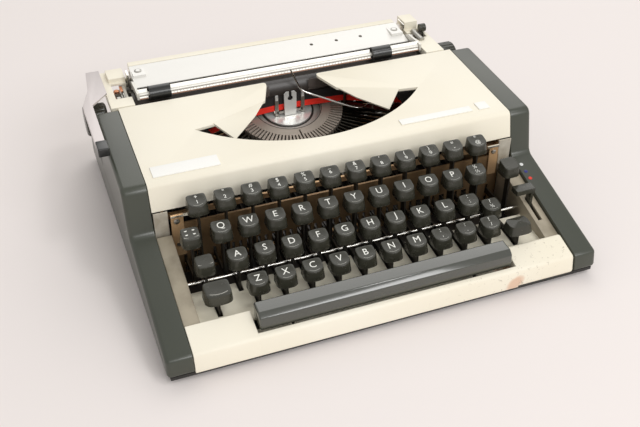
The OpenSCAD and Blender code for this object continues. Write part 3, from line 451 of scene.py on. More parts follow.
def nested(corners, radii, distance, steps=6):
    """The outline with both edges of every corner moved in by distance. The corner slides by
    (n + m) / (1 + n.m) times distance, where n and m are its edges' inward normals, and its
    radius shrinks by distance where the outline bulges, and grows by it in a hollow."""
    corners = np.asarray(corners, dtype=float)
    before = corners - np.roll(corners, 1, axis=0)
    before /= np.linalg.norm(before, axis=1)[:, None]
    after = np.roll(before, -1, axis=0)
    n = np.column_stack([-before[:, 1], before[:, 0]])
    m = np.column_stack([-after[:, 1], after[:, 0]])
    mitre = (n + m) / (1 + (n * m).sum(axis=1))[:, None]
    bulge = np.sign(before[:, 0] * after[:, 1] - before[:, 1] * after[:, 0])
    shrunk = np.maximum(np.asarray(radii) - bulge * distance, 0.05)
    return fillet(corners + mitre * distance, shrunk, steps)


def closed_rings(rings):
    """Neighbouring rings joined by quads, and one flat face at either end."""
    count, around = len(rings), len(rings[0])
    index = np.arange(count * around).reshape(count, around)
    after = np.roll(index, -1, axis=1)
    quads = np.stack([index[:-1], after[:-1], after[1:], index[1:]], axis=-1).reshape(-1, 4)
    return np.concatenate(rings), quads.tolist() + [index[0][::-1].tolist(), index[-1].tolist()]


def rounded_bar(corners, radii, x0, x1, round0=0.3, round1=0.3, steps=5):
    """Rings at x0 + r(1 - sin a) with the outline moved in by r(1 - cos a), and the same at x1."""
    turn = np.linspace(np.pi / 2, 0, steps)
    places = [(x0 + round0 * (1 - np.sin(a)), round0 * (1 - np.cos(a))) for a in turn]
    places += [(x1 - round1 * (1 - np.sin(a)), round1 * (1 - np.cos(a))) for a in turn[::-1]]
    rings = []
    for x, inset in places:
        outline = nested(corners, radii, inset)
        rings.append(np.column_stack([np.full(len(outline), x), outline]))
    return closed_rings(rings)


def prism(outline, x0, x1):
    """An outline in Y and Z pushed straight along X."""
    flat = np.asarray(outline, dtype=float)
    return closed_rings([np.column_stack([np.full(len(flat), x), flat]) for x in (x0, x1)])


def box(low, high):
    x0, y0, z0 = low
    x1, y1, z1 = high
    return prism([[y0, z0], [y1, z0], [y1, z1], [y0, z1]], x0, x1)


def turned(axis_point, axis, profile, around=40):
    """Rings of radius r at distance s along an axis, for each (s, r) of the profile."""
    axis = np.asarray(axis, dtype=float) / np.linalg.norm(axis)
    across = np.cross(axis, [0.0, 0.0, 1.0] if abs(axis[2]) < 0.9 else [1.0, 0.0, 0.0])
    across /= np.linalg.norm(across)
    other = np.cross(axis, across)
    angle = np.linspace(0, 2 * np.pi, around, endpoint=False)[:, None]
    circle = np.cos(angle) * across + np.sin(angle) * other
    return closed_rings([np.asarray(axis_point) + axis * s + circle * r for s, r in profile])


def tube(points, radius, around=10, steps=6):
    """A round wire through points: a Catmull-Rom curve swept by a circle across its tangent."""
    points = np.asarray(points, dtype=float)
    padded = np.vstack([2 * points[0] - points[1], points, 2 * points[-1] - points[-2]])
    t = np.linspace(0, 1, steps, endpoint=False)[:, None]
    path = []
    for a, b, c, d in zip(padded, padded[1:], padded[2:], padded[3:]):
        cubic = (3 * b - a - 3 * c + d) * t**3
        path.append(0.5 * (2 * b + (c - a) * t + (2 * a - 5 * b + 4 * c - d) * t**2 + cubic))
    path = np.vstack(path + [points[-1:]])
    tangent = np.gradient(path, axis=0)
    tangent /= np.linalg.norm(tangent, axis=1)[:, None]
    across = np.cross(tangent, [0.31, 0.95, 0.05])
    across /= np.linalg.norm(across, axis=1)[:, None]
    other = np.cross(tangent, across)
    angle = np.linspace(0, 2 * np.pi, around, endpoint=False)[:, None]
    circles = [p + (np.cos(angle) * u + np.sin(angle) * v) * radius for p, u, v in zip(path, across, other)]
    return closed_rings(circles)


def build(name, parts, body, finishes_used, smooth=True, replaces=(), flat_angle=0.6):
    """Puts several (points, faces, finish number) parts, in machine millimetres, in one mesh.
    A piece that bends between two bodies rides on none, so its body is None."""
    points, faces, numbers, start = [], [], [], 0
    for part_points, part_faces, number in parts:
        points.append(np.asarray(part_points))
        faces += [[start + i for i in face] for face in part_faces]
        numbers += [number] * len(part_faces)
        start += len(part_points)
    mesh = bpy.data.meshes.new(name)
    mesh.from_pydata(place(np.vstack(points)).tolist(), [], faces)
    for finish in finishes_used:
        mesh.materials.append(finish.material)
    mesh.polygons.foreach_set("material_index", numbers)
    form = bmesh.new()
    form.from_mesh(mesh)
    bmesh.ops.recalc_face_normals(form, faces=form.faces)
    form.to_mesh(mesh)
    form.free()
    if smooth:
        mesh.shade_smooth()
        mesh.set_sharp_from_angle(angle=flat_angle)
    piece = bpy.data.objects.new(name, mesh)
    scene.collection.objects.link(piece)
    if body:
        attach(piece, body)
    if replaces:
        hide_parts(*replaces)
    return piece


print("a box has", len(box((0, 0, 0), (1, 1, 1))[1]), "faces")

# %% [markdown]
# The side panels are the darkest mouldings and stand outside everything. Their outline climbs
# from the keyboard to the cover in a soft step, and the outer edge is rounded by 3 mm all round.

# %% Side panels
PAN_Z = 2.5
FRONT_Y, FRONT_Z = 2.6, 16.3
DECK_Y, DECK_Z = 98.1, 41.8
PANEL_CORNERS = [
    (0, PAN_Z), (278, PAN_Z), (275, 30), (271, 34), (207, 34), (206.6, 80.1),
    (RISER_Y, RISER_Z), (DECK_Y, DECK_Z), (FRONT_Y, FRONT_Z),
]
PANEL_RADII = [3.2, 3.2, 3.4, 3.2, 2.0, 4.0, 6.5, 6.0, 3.6]
PANEL_INNER, PANEL_OUTER = 137.6, 155.0
panel_sides = (
    ("left", -PANEL_OUTER, -PANEL_INNER, 3.0, 0.5),
    ("right", PANEL_INNER, PANEL_OUTER, 0.5, 3.0),
)
for side_name, x0, x1, round0, round1 in panel_sides:
    node = "side_panel_" + side_name
    shape = rounded_bar(PANEL_CORNERS, PANEL_RADII, x0, x1, round0, round1, 7)
    build(node + "_skin", [shape + (0,)], "casing", [panel], replaces=[node])
print("panel outline has", len(PANEL_CORNERS), "rounded corners")

# %% [markdown]
# The front apron is one moulding with a trough for the space bar. It is made as a left block, a
# right block, and the low lip between them, which all share one rounded front.

# %% Front apron
def deck_height(y):
    """The height of the sloping keyboard deck: a straight line from its front to its back."""
    return FRONT_Z + (y - FRONT_Y) * (DECK_Z - FRONT_Z) / (DECK_Y - FRONT_Y)


APRON_X, APRON_D, LIP_D = 137.2, 24.0, 6.6
TROUGH_LEFT, TROUGH_RIGHT, LAP = -94.0, 92.0, 0.3
TROUGH_TOP = PAN_Z + 0.4


def apron_front(depth):
    """The corners of the apron's outline, cut off at that depth."""
    return [(0.2, PAN_Z), (depth, PAN_Z), (depth, deck_height(depth)), (FRONT_Y, FRONT_Z)]


lip = fillet(apron_front(LIP_D), [0.8, 0.2, 0.5, 3.4])
left_radii, right_radii = [0.8, 0.6, 0.7, 3.4], [2.4, 2.4, 2.4, 3.4]
low = (TROUGH_LEFT - LAP, 6.0, PAN_Z)
high = (TROUGH_RIGHT + LAP, APRON_D, TROUGH_TOP)
apron_parts = [
    rounded_bar(apron_front(APRON_D), left_radii, -APRON_X, TROUGH_LEFT, 0.5, 0.5) + (0,),
    rounded_bar(apron_front(APRON_D), right_radii, TROUGH_RIGHT, APRON_X, 0.5, 2.4, 7) + (0,),
    prism(lip, low[0], high[0]) + (0,),
    box(low, high) + (0,),
]
build("front_apron_skin", apron_parts, "casing", [cream], replaces=["front_apron"])
print("apron blocks:", len(apron_parts))

# %% [markdown]
# The space bar is a long extrusion with a flat top, a soft front bevel and slightly rounded ends.
# Two thin arms carry it from below.

# %% Space bar
BAR_PROFILE = [(8, 17), (23.6, 17), (23.0, 29), (12.3, 28.6), (9, 25.6)]
BAR_RADII = [0.6, 0.6, 1.2, 2.0, 1.8]
BAR_LEFT, BAR_RIGHT = -92.0, 90.0
ROD_Y, ROD_Z, EYE_R, LEVER_T = 236.0, 11.0, 4.4, 1.2
ARM = [
    (13.8, 8.5), (26.6, 8.5), (40, 7.9), (ROD_Y, ROD_Z - 3), (ROD_Y, ROD_Z + 3),
    (40, 11.6), (25.6, 10.6), (23, 10.6), (22, 18), (13.8, 18),
]
bar_parts = [rounded_bar(BAR_PROFILE, BAR_RADII, BAR_LEFT, BAR_RIGHT, 1.4, 1.4, 5) + (0,)]
for x in (-67.8, 65.2):
    left = x - LEVER_T / 2
    bar_parts.append(prism(ARM, left, left + LEVER_T) + (1,))
    bar_parts.append(turned((left, ROD_Y, ROD_Z), (1, 0, 0), [(0, EYE_R), (LEVER_T, EYE_R)]) + (1,))
build("space_bar_skin", bar_parts, body_of_node("space_bar"), [bar_plastic, lever_black],
      replaces=["space_bar"])
print("space bar is", BAR_RIGHT - BAR_LEFT, "mm long")

# %% [markdown]
# A key top is a shield: straight across the back, curved in at the front, and dished for the
# fingertip. Its foot is a rounded rectangle. The wall is a straight blend from foot to top. A fine
# pale arc crosses the top just in front of the legend: a painted highlight on the dish's front rim.

# %% Key caps as surfaces
AROUND = 48


def shield(half_width, half_depth, back_power, front_power):
    """A superellipse: x is a times cosine to the 2/n, y is b times sine to the 2/n, with one
    power n behind the middle and another in front of it."""
    angle = np.linspace(0.0, 2.0 * np.pi, AROUND, endpoint=False)
    cosine, sine = np.cos(angle), np.sin(angle)
    power = np.where(sine > 0, back_power, front_power)
    x = half_width * np.sign(cosine) * np.abs(cosine) ** (2.0 / power)
    y = half_depth * np.sign(sine) * np.abs(sine) ** (2.0 / power)
    return np.stack([x, y], axis=1)


def dish(x, y, drop=0.5, lean=0.20):
    """Height over the rim: a bowl that is drop deep in the middle, and a slope down to the front."""
    bowl = np.clip((x / 6.4) ** 2 + (y / 5.6) ** 2, 0.0, 1.0)
    return -drop * (1.0 - bowl) + lean * y


def cap_shape(x, y, top, width, depth, tall, plain=False):
    """Rings from the foot up to the rim and in to the middle of the top."""
    foot = shield(width / 2, depth / 2, 7.0, 3.2)
    inset = 0.9 if plain else 0.7
    rim = shield(width / 2 - inset, depth / 2 - 0.5, 7.0, 5.0 if plain else 2.1)
    rings = []
    drop = 0.15 if plain else 0.5
    edge_height = dish(rim[:, 0], rim[:, 1], drop) - 0.4
    for share in (0.0, 0.04, 0.5, 0.95):
        ring = foot * (1 - share) + rim * share
        if share == 0.0:
            ring = ring * 0.96
        rings.append(np.column_stack([ring, edge_height * share - tall * (1 - share)]))
    rounding = [(1.0, 0.4), (0.985, 0.12)] + [(scale, 0.0) for scale in (0.955, 0.85, 0.65, 0.4, 0.1)]
    for scale, sink in rounding:
        ring = rim * scale
        rings.append(np.column_stack([ring, dish(ring[:, 0], ring[:, 1], drop) - sink]))
    return closed_rings([ring + np.array([x, y, top]) for ring in rings])


def painted_highlight_arc(x, y, top, width, at):
    """A fine raised arc across the top at depth at, bowed to the front like a smile. Its pale grey is a
    painted highlight on the front rim of the dish.
    """
    u = np.linspace(-1, 1, 13)
    px = u * width / 2
    py = at + 0.9 * u * u
    pz = dish(px, py) + 0.02
    low = np.column_stack([px, py - 0.20, pz - 0.10])
    high = np.column_stack([px, py + 0.20, pz + 0.06])
    points = np.vstack([low, high]) + np.array([x, y, top])
    return points, [[i, i + 1, i + 14, i + 13] for i in range(12)]


print("one cap has", len(cap_shape(0, 0, 0, 14.6, 13, 9)[1]), "faces")

# %% [markdown]
# The keys stand in four rows on a 19 mm pitch. Each row has its first key's middle, its depth
# and its height, as in the CAD, and every key's lever runs back to the rod they all turn on.

# %% Key rows, levers and legends
PITCH = 19.0
ROWS = {
    "number": (-108.6, 88.1, 69.1, 12),
    "upper": (-97.4, 71.5, 56.2, 11),
    "home": (-91.7, 55.2, 43.7, 11),
    "lower": (-83.6, 36.8, 34.8, 10),
}
LEGENDS = {
    "number": [
        "+\n1", "\"\n2", "#\n3", "$\n4", "%\n5", "_\n6",
        "&\n7", "'\n8", "(\n9", ")\n0", "=\n-", "*\n@",
    ],
    "upper": list("QWERTYUIOP") + ["¼\n½"],
    "home": list("ASDFGHJKL") + [":\n;", "?\n¾"],
    "lower": list("ZXCVBNM") + [";\n,", ":\n.", "!\n/"],
}
CAP_W, CAP_D, CAP_T = 14.6, 13.0, 9.0
LAST_HOME_DROP = 8.7
LEVER_H, STEM_D = 4.5, 5.0
LEVER_FRONT_Y, LEVER_FRONT_Z = 36.0, 16.0
STEM_SEAT = 0.5


def lever_height(y):
    """The middle of every lever: a straight line that rises from the rod to the front."""
    return ROD_Z + (LEVER_FRONT_Z - ROD_Z) * (ROD_Y - y) / (ROD_Y - LEVER_FRONT_Y)


def lever_shape(x, y, top):
    """The stem under a key and the bar that runs back from it, as one bent outline."""
    front, back = y - STEM_D / 2, y + STEM_D / 2
    low = lever_height(y) - LEVER_H / 2
    high = lever_height(y) + LEVER_H / 2
    end = ROD_Y + 4.2
    rear = [(end, ROD_Z - LEVER_H / 2), (end, ROD_Z + LEVER_H / 2)]
    bar = [(front, low)] + rear + [(back, high), (back, top), (front, top)]
    return prism(bar, x - LEVER_T / 2, x + LEVER_T / 2)


LETTER, SMALL_LETTER = 7.0, 4.3
letters = {}


def letter_shape(text, size):
    """A flat legend as points and faces around (0, 0), made from a text curve and then freed."""
    if (text, size) not in letters:
        curve = bpy.data.curves.new("legend", "FONT")
        curve.body = text
        curve.size = size
        curve.align_x = "CENTER"
        curve.space_line = 1.02
        curve.offset = 0.001 * size
        curve.resolution_u = 3
        holder = bpy.data.objects.new("legend", curve)
        scene.collection.objects.link(holder)
        mesh = bpy.data.meshes.new_from_object(holder.evaluated_get(bpy.context.evaluated_depsgraph_get()))
        flat = np.zeros(len(mesh.vertices) * 3)
        mesh.vertices.foreach_get("co", flat)
        flat = flat.reshape(-1, 3)
        flat[:, :2] -= (flat[:, :2].max(axis=0) + flat[:, :2].min(axis=0)) / 2
        letters[(text, size)] = (flat, [list(p.vertices) for p in mesh.polygons])
        bpy.data.objects.remove(holder)
        bpy.data.meshes.remove(mesh)
    return letters[(text, size)]


def legend_shape(text, x, y, top):
    """The legend laid on the dished top, a little behind the middle of the key."""
    flat, faces = letter_shape(text, SMALL_LETTER if "\n" in text else LETTER)
    spread = flat.copy()
    spread[:, 1] += 1.3
    spread[:, 2] = dish(spread[:, 0], spread[:, 1]) + 0.06
    return spread + np.array([x, y, top]), faces


def dress_keys(node, wanted):
    """All the keys of one node: caps and levers in one piece, and legends with the painted highlight arcs
    in another.
    """
    parts, marks = [], []
    for row, number in wanted:
        x0, y, top, count = ROWS[row]
        x = x0 + PITCH * number
        if row == "home" and number == count - 1:
            top = top - LAST_HOME_DROP
        parts.append(cap_shape(x, y, top, CAP_W, CAP_D, CAP_T) + (0,))
        parts.append(lever_shape(x, y, top - CAP_T + STEM_SEAT) + (1,))
        marks.append(legend_shape(LEGENDS[row][number], x, y, top) + (0,))
        # The arc is a painted highlight on the dish's front rim.
        marks.append(painted_highlight_arc(x, y, top, 6.6, -4.3) + (1,))
    body = body_of_node(node)
    build(node + "_dressed", parts, body, [key_plastic, lever_black],
          replaces=[node], flat_angle=0.9)
    build(node + "_legends", marks, body, [legend_white, painted_highlight_grey], smooth=False)


FINGERS = {
    "keys_left_little": ([0], [0], [0], [0]),
    "keys_left_ring": ([1], [1], [1], [1]),
    "keys_left_middle": ([2], [2], [2], [2]),
    "keys_left_index": ([3, 4], [3, 4], [3, 4], [3, 4]),
    "key_h": ([], [], [5], []),
    "keys_right_index": ([5, 6], [5, 6], [6], [5, 6]),
    "keys_right_middle": ([7], [7], [7], [7]),
    "keys_right_ring": ([8], [8], [8], [8]),
    "keys_right_little": ([9, 10, 11], [9, 10], [9, 10], [9]),
}
for node, columns in FINGERS.items():
    dress_keys(node, [(row, i) for row, numbers in zip(ROWS, columns) for i in numbers])
print("keys with legends:", sum(len(c) for columns in FINGERS.values() for c in columns))

# %% [markdown]
# The keys that don't print are plainer. The shift keys are wide, the shift lock and the margin
# release are small, and the backspace key has one thick dash. The right shift key comes to a low
# pyramid, so its top is four flat faces.

# %% Shift, lock, release and backspace keys
def pyramid_shape(x, y, top, width, depth, tall):
    """A plain foot, and a top whose middle is the highest point of four sloping faces."""
    foot = shield(width / 2, depth / 2, 5.0, 4.0)
    rim = shield(width / 2 - 1.4, depth / 2 - 1.2, 5.0, 4.0)
    low = [(foot * 0.96, -tall), (foot, -tall + 0.4), (rim, -2.6)]
    rings = [np.column_stack([ring, np.full(AROUND, z)]) for ring, z in low]
    for scale in (0.985, 0.6, 0.25, 0.03):
        ring = rim * scale
        fall = np.maximum(np.abs(ring[:, 0]) / (width / 2), np.abs(ring[:, 1]) / (depth / 2))
        rings.append(np.column_stack([ring, -0.2 - 2.2 * fall]))
    return closed_rings([ring + np.array([x, y, top]) for ring in rings])


def plain_key(x, y, top, width, depth):
    """One plain cap with its lever."""
    cap = cap_shape(x, y, top, width, depth, CAP_T, plain=True)
    return [cap + (0,), lever_shape(x, y, top - CAP_T + STEM_SEAT) + (1,)]


def plain_highlight_arc(x, y, top, width, at):
    """The painted highlight arc of a plain key, a little higher because its top is hardly dished."""
    return painted_highlight_arc(x, y, top + 0.15, width, at) + (3,)


LEFT_SHIFT, RIGHT_SHIFT = (-111.2, 37.0, 34.8), (107.0, 32.2, 35.0)
SHIFT_LOCK, MARGIN_RELEASE, BACKSPACE = (-113.9, 56.0, 43.7), (-118.4, 71.4, 56.2), (119.0, 70.5, 56.2)
SHIFT_W, SHIFT_D, SMALL_W, SMALL_D = 19.0, 14.0, 13.6, 12.0
SHAFT_Y, SHAFT_Z, SHAFT_R, SHAFT_END = 246.0, 13.0, 2.0, 1.0

key_finishes = [key_plastic, lever_black, legend_white, painted_highlight_grey]
x, y, top = RIGHT_SHIFT
shift_parts = plain_key(*LEFT_SHIFT, SHIFT_W, SHIFT_D)
shift_parts.append(pyramid_shape(x, y, top, SHIFT_W, SHIFT_D, CAP_T) + (0,))
shift_parts.append(lever_shape(x, y, top - CAP_T + STEM_SEAT) + (1,))
tail = [(238, 8), (SHAFT_Y, SHAFT_Z - SHAFT_R), (SHAFT_Y, SHAFT_Z + SHAFT_R), (238, 14)]
for x in (LEFT_SHIFT[0], RIGHT_SHIFT[0]):
    shift_parts.append(prism(tail, x - LEVER_T / 2, x + LEVER_T / 2) + (1,))
shaft_start = (LEFT_SHIFT[0] - SHAFT_END, SHAFT_Y, SHAFT_Z)
shaft_length = RIGHT_SHIFT[0] - LEFT_SHIFT[0] + 2 * SHAFT_END
shift_parts.append(turned(shaft_start, (1, 0, 0), [(0, SHAFT_R), (shaft_length, SHAFT_R)], 20) + (1,))
shift_parts.append(plain_highlight_arc(*LEFT_SHIFT, 12.0, -4.6))
build("shift_keys_dressed", shift_parts, body_of_node("shift_keys"), key_finishes,
      replaces=["shift_keys"], flat_angle=0.5)

lock_parts = plain_key(*SHIFT_LOCK, SMALL_W, SMALL_D) + [plain_highlight_arc(*SHIFT_LOCK, 10.0, -3.4)]
build("shift_lock_dressed", lock_parts, body_of_node("shift_lock"), key_finishes,
      replaces=["shift_lock"], flat_angle=0.9)

release_parts = plain_key(*MARGIN_RELEASE, SMALL_W, SMALL_D)
x, y, top = MARGIN_RELEASE
for dx, dy in ((-2.6, 3.0), (2.6, 3.0), (-2.6, -0.4), (2.6, -0.4)):
    spot = (x + dx, y + dy, top + dish(dx, dy, 0.15) - 0.1)
    release_parts.append(turned(spot, (0, 0, 1), [(0, 0.95), (0.14, 0.95)], 14) + (2,))
release_parts.append(plain_highlight_arc(*MARGIN_RELEASE, 10.0, -3.6))
build("margin_release_dressed", release_parts, body_of_node("margin_release_key"), key_finishes,
      replaces=["margin_release_key"], flat_angle=0.9)

x, y, top = BACKSPACE
dash = box((x - 3.4, y + 1.9, top - 0.05), (x + 3.4, y + 3.2, top + 0.22))
back_parts = plain_key(*BACKSPACE, SMALL_W, CAP_D) + [dash + (2,)]
build("backspace_dressed", back_parts, body_of_node("backspace_key"), key_finishes,
      replaces=["backspace_key"], flat_angle=0.9)
print("plain keys: 5")

# %% [markdown]
# Behind the lowest keys a thin bright rod crosses the deck. Two pale sheets stand beside the
# keyboard under the cover's corners, and bronze brackets with screws show through at the left.

# %% Sheet metal round the keyboard
worn_grey = Recipe("worn_grey", (186, 180, 166), 0.45)
worn = worn_grey.noise(60.0, 4.0).between(0.4, 0.7)
worn_grey.paint("Base Color", worn_grey.blend(worn, (196, 190, 176), (150, 140, 122)))
fittings = [
    turned((-126.0, 63.2, 20.6), (1, 0, 0), [(0, 0.9), (252.0, 0.9)], 16) + (0,),
    box((-137.0, 99.4, 30.0), (-127.2, 100.6, 56.3)) + (1,),
    box((126.8, 99.4, 30.0), (136.8, 100.6, 56.3)) + (1,),
    box((-126.0, 96.2, 20.0), (-117.4, 97.0, 55.0)) + (2,),
    box((117.2, 96.2, 30.0), (124.4, 97.0, 55.6)) + (2,),
    turned((-122.2, 96.3, 49.8), (0, -1, 0), [(0, 2.1), (1.0, 2.1), (1.3, 1.4)], 24) + (3,),
    turned((-122.2, 96.3, 30.0), (0, -1, 0), [(0, 1.5), (0.8, 1.5)], 24) + (3,),
    turned((120.4, 96.3, 50.5), (0, -1, 0), [(0, 1.8), (0.9, 1.8), (1.2, 1.2)], 24) + (3,),
    box((-126.0, 95.4, 53.2), (-112.0, 96.6, 54.6)) + (0,),
    box((115.0, 95.4, 54.4), (124.6, 96.6, 55.8)) + (0,),
]
build("keyboard_fittings", fittings, "casing", [chrome, worn_grey, bronze, steel], flat_angle=0.5)

DOT_X, DOT_SINK = 141.2, 0.35
dots = (("white", (226, 228, 226), 87.8), ("blue", (44, 48, 120), 80.7), ("red", (226, 52, 34), 74.0))
for dot_name, colour, y in dots:
    dot = Recipe("dot_" + dot_name, colour, 0.35)
    base = (DOT_X, y, deck_height(y) - DOT_SINK)
    disc = turned(base, (0, -0.257, 0.966), [(0, 1.45), (0.5, 1.45), (0.62, 1.1)], 20)
    build("selector_dot_" + dot_name, [disc + (0,)], "casing", [dot], flat_angle=0.9)
print("colour dots:", len(dots))

# %% [markdown]
# In the middle of the window stands a white tongue with a keyhole. The bar that strikes passes
# through the hole, and two prongs beside it hold the ribbon.

# %% Guide tongue and ribbon wire
def half_disc(radius, low, high):
    """A half disc in the basket's own frame: x = r cos a, y = r sin a, turned back by the tilt.
    Two slots run in from its straight edge, so that the ribbon's prongs pass through."""
    angle = np.linspace(np.pi, 2 * np.pi, 60)
    slots = np.array([(12.8, 0), (12.8, -7.9), (9.2, -7.9), (9.2, 0)])
    arc = np.column_stack([np.cos(angle), np.sin(angle)]) * radius
    x, y = np.vstack([arc, slots, slots[::-1] * (-1, 1)]).T
    rings = []
    for z in (low, high):
        back = BASKET_Y + y * np.cos(TILT) - z * np.sin(TILT)
        up = BASKET_Z + y * np.sin(TILT) + z * np.cos(TILT)
        rings.append(np.column_stack([PRINT_X + x, back, up]))
    return closed_rings(rings)


HOLE_R, HOLE_DROP = 2.2, 5.8


def tongue(low, high, back, front):
    """An upright plate whose top has a round hole that opens upwards through a narrow slit."""
    angle = np.linspace(np.radians(121), np.radians(419), 24)[::-1]
    rim = np.column_stack([np.cos(angle), np.sin(angle)]) * HOLE_R + (0, high - HOLE_DROP)
    right = np.array([(4.9, low), (5.2, high - 7.0), (5.2, high - 1.8), (3.6, high), (1.15, high)])
    edge = np.vstack([right, rim, right[::-1] * (-1, 1)]) + (PRINT_X, 0)
    x, z = edge.T
    return closed_rings([np.column_stack([x, np.full(len(x), y), z]) for y in (front, back)])


guide_parts = [half_disc(20.0, -0.5, 0.7) + (0,), tongue(46.0, 67.0, 208.4, 207.5) + (0,)]
build("type_guide_dressed", guide_parts, body_of_node("type_guide"), [plate_white],
      replaces=["type_guide"], flat_angle=0.5)

PRONG_Y, PRONG_T, PRONG_IN, PRONG_OUT = 209.0, 0.8, 9.5, 12.5
bridge = (PRINT_X - 11.0, PRONG_Y, 47.6), (PRINT_X + 11.0, PRONG_Y + PRONG_T, 49.8)
prongs = [box(*bridge) + (0,)]
for x in (PRINT_X - PRONG_OUT, PRINT_X + PRONG_IN):
    prongs.append(box((x, PRONG_Y, 17.0), (x + 3.0, PRONG_Y + PRONG_T, 62.5)) + (0,))
    prongs.append(box((x + 0.4, PRONG_Y - 0.3, 60.0), (x + 2.6, PRONG_Y + 0.5, 64.6)) + (1,))
build("ribbon_prongs", prongs, body_of_node("ribbon_vibrator"), [steel, plate_white],
      replaces=["ribbon_vibrator"])

WIRE = [
    (62, 189.6, 49.7), (62, 189.4, 52.5), (58, 186.2, 56), (44, 180.2, 58), (22, 197.8, 62),
    (8, 205.2, 67.2), (3.8, 206.3, 74), (-2.0, 206.4, 87.6),
]
build("ribbon_wire_bent", [tube(WIRE, 0.72) + (0,)], "casing", [chrome],
      replaces=["ribbon_wire"], flat_angle=1.2)
print("guide, prongs and wire made")

# %% [markdown]
# The ribbon runs from one spool round a post, behind the prongs and back to the other spool. The
# prongs lift it at each stroke while the posts hold it, so the two inner runs bend.

# %% Ribbon from spool to spool
RIBBON_HALVES = ((50.5, 55.7, 0), (55.7, 63.2, 1))
RIBBON_T, RIBBON_Y = 0.3, 210.1
POST_X, POST_Y = 44.0, 207.0
SPOOL_X, SPOOL_Y, WOUND_R, CORE_R = 96.0, 172.0, 15.0, 7.4


def ribbon_run(route):
    """A strip along a route seen from above, half its thickness to either side of the route.
    The lower part is red and the upper part is black."""
    route = np.asarray(route, dtype=float)
    along = np.gradient(route, axis=0)
    along /= np.linalg.norm(along, axis=1)[:, None]
    off = np.column_stack([-along[:, 1], along[:, 0]]) * RIBBON_T / 2
    edges = [route - off, route + off, route + off, route - off]
    runs = []
    for low, high, number in RIBBON_HALVES:
        levels = (low, low, high, high)
        corners = [np.column_stack([edge, np.full(len(edge), z)]) for edge, z in zip(edges, levels)]
        runs.append(closed_rings(list(np.stack(corners, axis=1))) + (number,))
    return runs


def wound_ribbon(x, around=64):
    """The coil on a spool: four circles joined in a loop, so that the hole for the hub stays open."""
    angle = np.linspace(0, 2 * np.pi, around, endpoint=False)
    circle = np.column_stack([np.cos(angle), np.sin(angle)])
    index = np.arange(4 * around).reshape(4, around)
    beside = np.roll(index, -1, axis=1)
    above, across = np.roll(index, -1, axis=0), np.roll(beside, -1, axis=0)
    quads = np.stack([index, beside, across, above], axis=-1).reshape(-1, 4).tolist()
    coils = []
    for low, high, number in RIBBON_HALVES:
        corners = ((CORE_R, low), (WOUND_R, low), (WOUND_R, high), (CORE_R, high))
        rings = [np.column_stack([circle * r + (x, SPOOL_Y), np.full(around, z)]) for r, z in corners]
        coils.append((np.vstack(rings), quads, number))
    return coils


ribbon_inks = [ribbon_red, ribbon_black]
resting = []
for s in (-1, 1):
    resting += ribbon_run([(s * POST_X, POST_Y), (s * (SPOOL_X - 6.5), SPOOL_Y + WOUND_R - 1.6)])
    resting += wound_ribbon(s * SPOOL_X)
build("ribbon_on_spools", resting, "casing", ribbon_inks, smooth=False, replaces=["ribbon"])

for ribbon_name, s, stands_for in (("ribbon_left", -1, ["ribbon_span"]), ("ribbon_right", 1, [])):
    post, prong = (s * POST_X, POST_Y), (PRINT_X + s * PRONG_OUT, RIBBON_Y)
    route = np.vstack([np.linspace(post, prong, 17), (PRINT_X, RIBBON_Y)])
    half = build(ribbon_name, ribbon_run(route), None, ribbon_inks,
                 smooth=False, replaces=stands_for)
    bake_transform(half)
print("the ribbon is", RIBBON_HALVES[1][1] - RIBBON_HALVES[0][0], "mm wide")

# %% [markdown]
# The strip on the paper bail carries a scale with one tick for every tenth of an inch, and the
# paper table is riveted. Screws hold its two corners.

# %% Scale, rivets and screws on the carriage
BAIL_Y, BAIL_Z = 217.1, 82.0
LEAN = np.radians(-32.0)


def on_strip(x0, x1, low, high, out):
    """A thin plate on the strip's front face; low and high run up the strip, out is its lift."""
    corners = np.array([(-0.6, low), (-0.6, high), (-0.6 - out, high), (-0.6 - out, low)])
    y = BAIL_Y + corners[:, 0] * np.cos(LEAN) - corners[:, 1] * np.sin(LEAN)
    z = BAIL_Z + corners[:, 0] * np.sin(LEAN) + corners[:, 1] * np.cos(LEAN)
    return prism(np.column_stack([y, z]), x0, x1)


TICKS, FIRST_TICK, TENTH_INCH = 64, -92.6, 2.54
scale_parts = []
for k in range(TICKS):
    x = FIRST_TICK + TENTH_INCH * k
    scale_parts.append(on_strip(x - 0.12, x + 0.12, -2.6, -1.4 if k % 5 else 0.2, 0.06) + (0,))
for x0, x1 in ((-120.0, -112.5), (-94.5, 70.5), (88.5, 114.0)):
    scale_parts.append(on_strip(x0 + 0.1, x1 - 0.1, -3.6, -2.7, 0.05) + (1,))
ink = Recipe("scale_ink", (120, 112, 104), 0.6)
build("bail_scale", scale_parts, body_of_node("paper_bail"), [ink, edge_brown], smooth=False)

table_parts = []
for x in (31.7, 53.9, 75.6):
    rivet = turned((x, 250.4, 81.9), (0, -0.16, 1), [(0, 1.5), (0.5, 1.5), (0.8, 0.9)], 20)
    table_parts.append(rivet + (0,))
for x, y in ((-112.6, 253.0), (106.4, 250.0)):
    table_parts.append(box((x - 5.0, y - 7.5, 81.2), (x + 5.0, y + 7.0, 83.5)) + (1,))
    table_parts.append(turned((x, y, 83.4), (0, 0, 1), [(0, 2.9), (0.5, 2.9), (0.8, 2.4)], 28) + (2,))
    table_parts.append(turned((x, y, 84.1), (0, 0, 1), [(0, 1.7), (0.2, 1.7)], 28) + (1,))
table_finishes = [dark_steel, table_white, steel]
build("table_fixings", table_parts, body_of_node("paper_table"), table_finishes)
print("ticks on the scale:", TICKS)

# %% [markdown]
# Through the opening in the left cap one sees the copper and steel parts of the line spacing
# works. On the right a thin plate and a round bar stand beside the cream block. The knobs at
# both ends have flutes for the fingers.

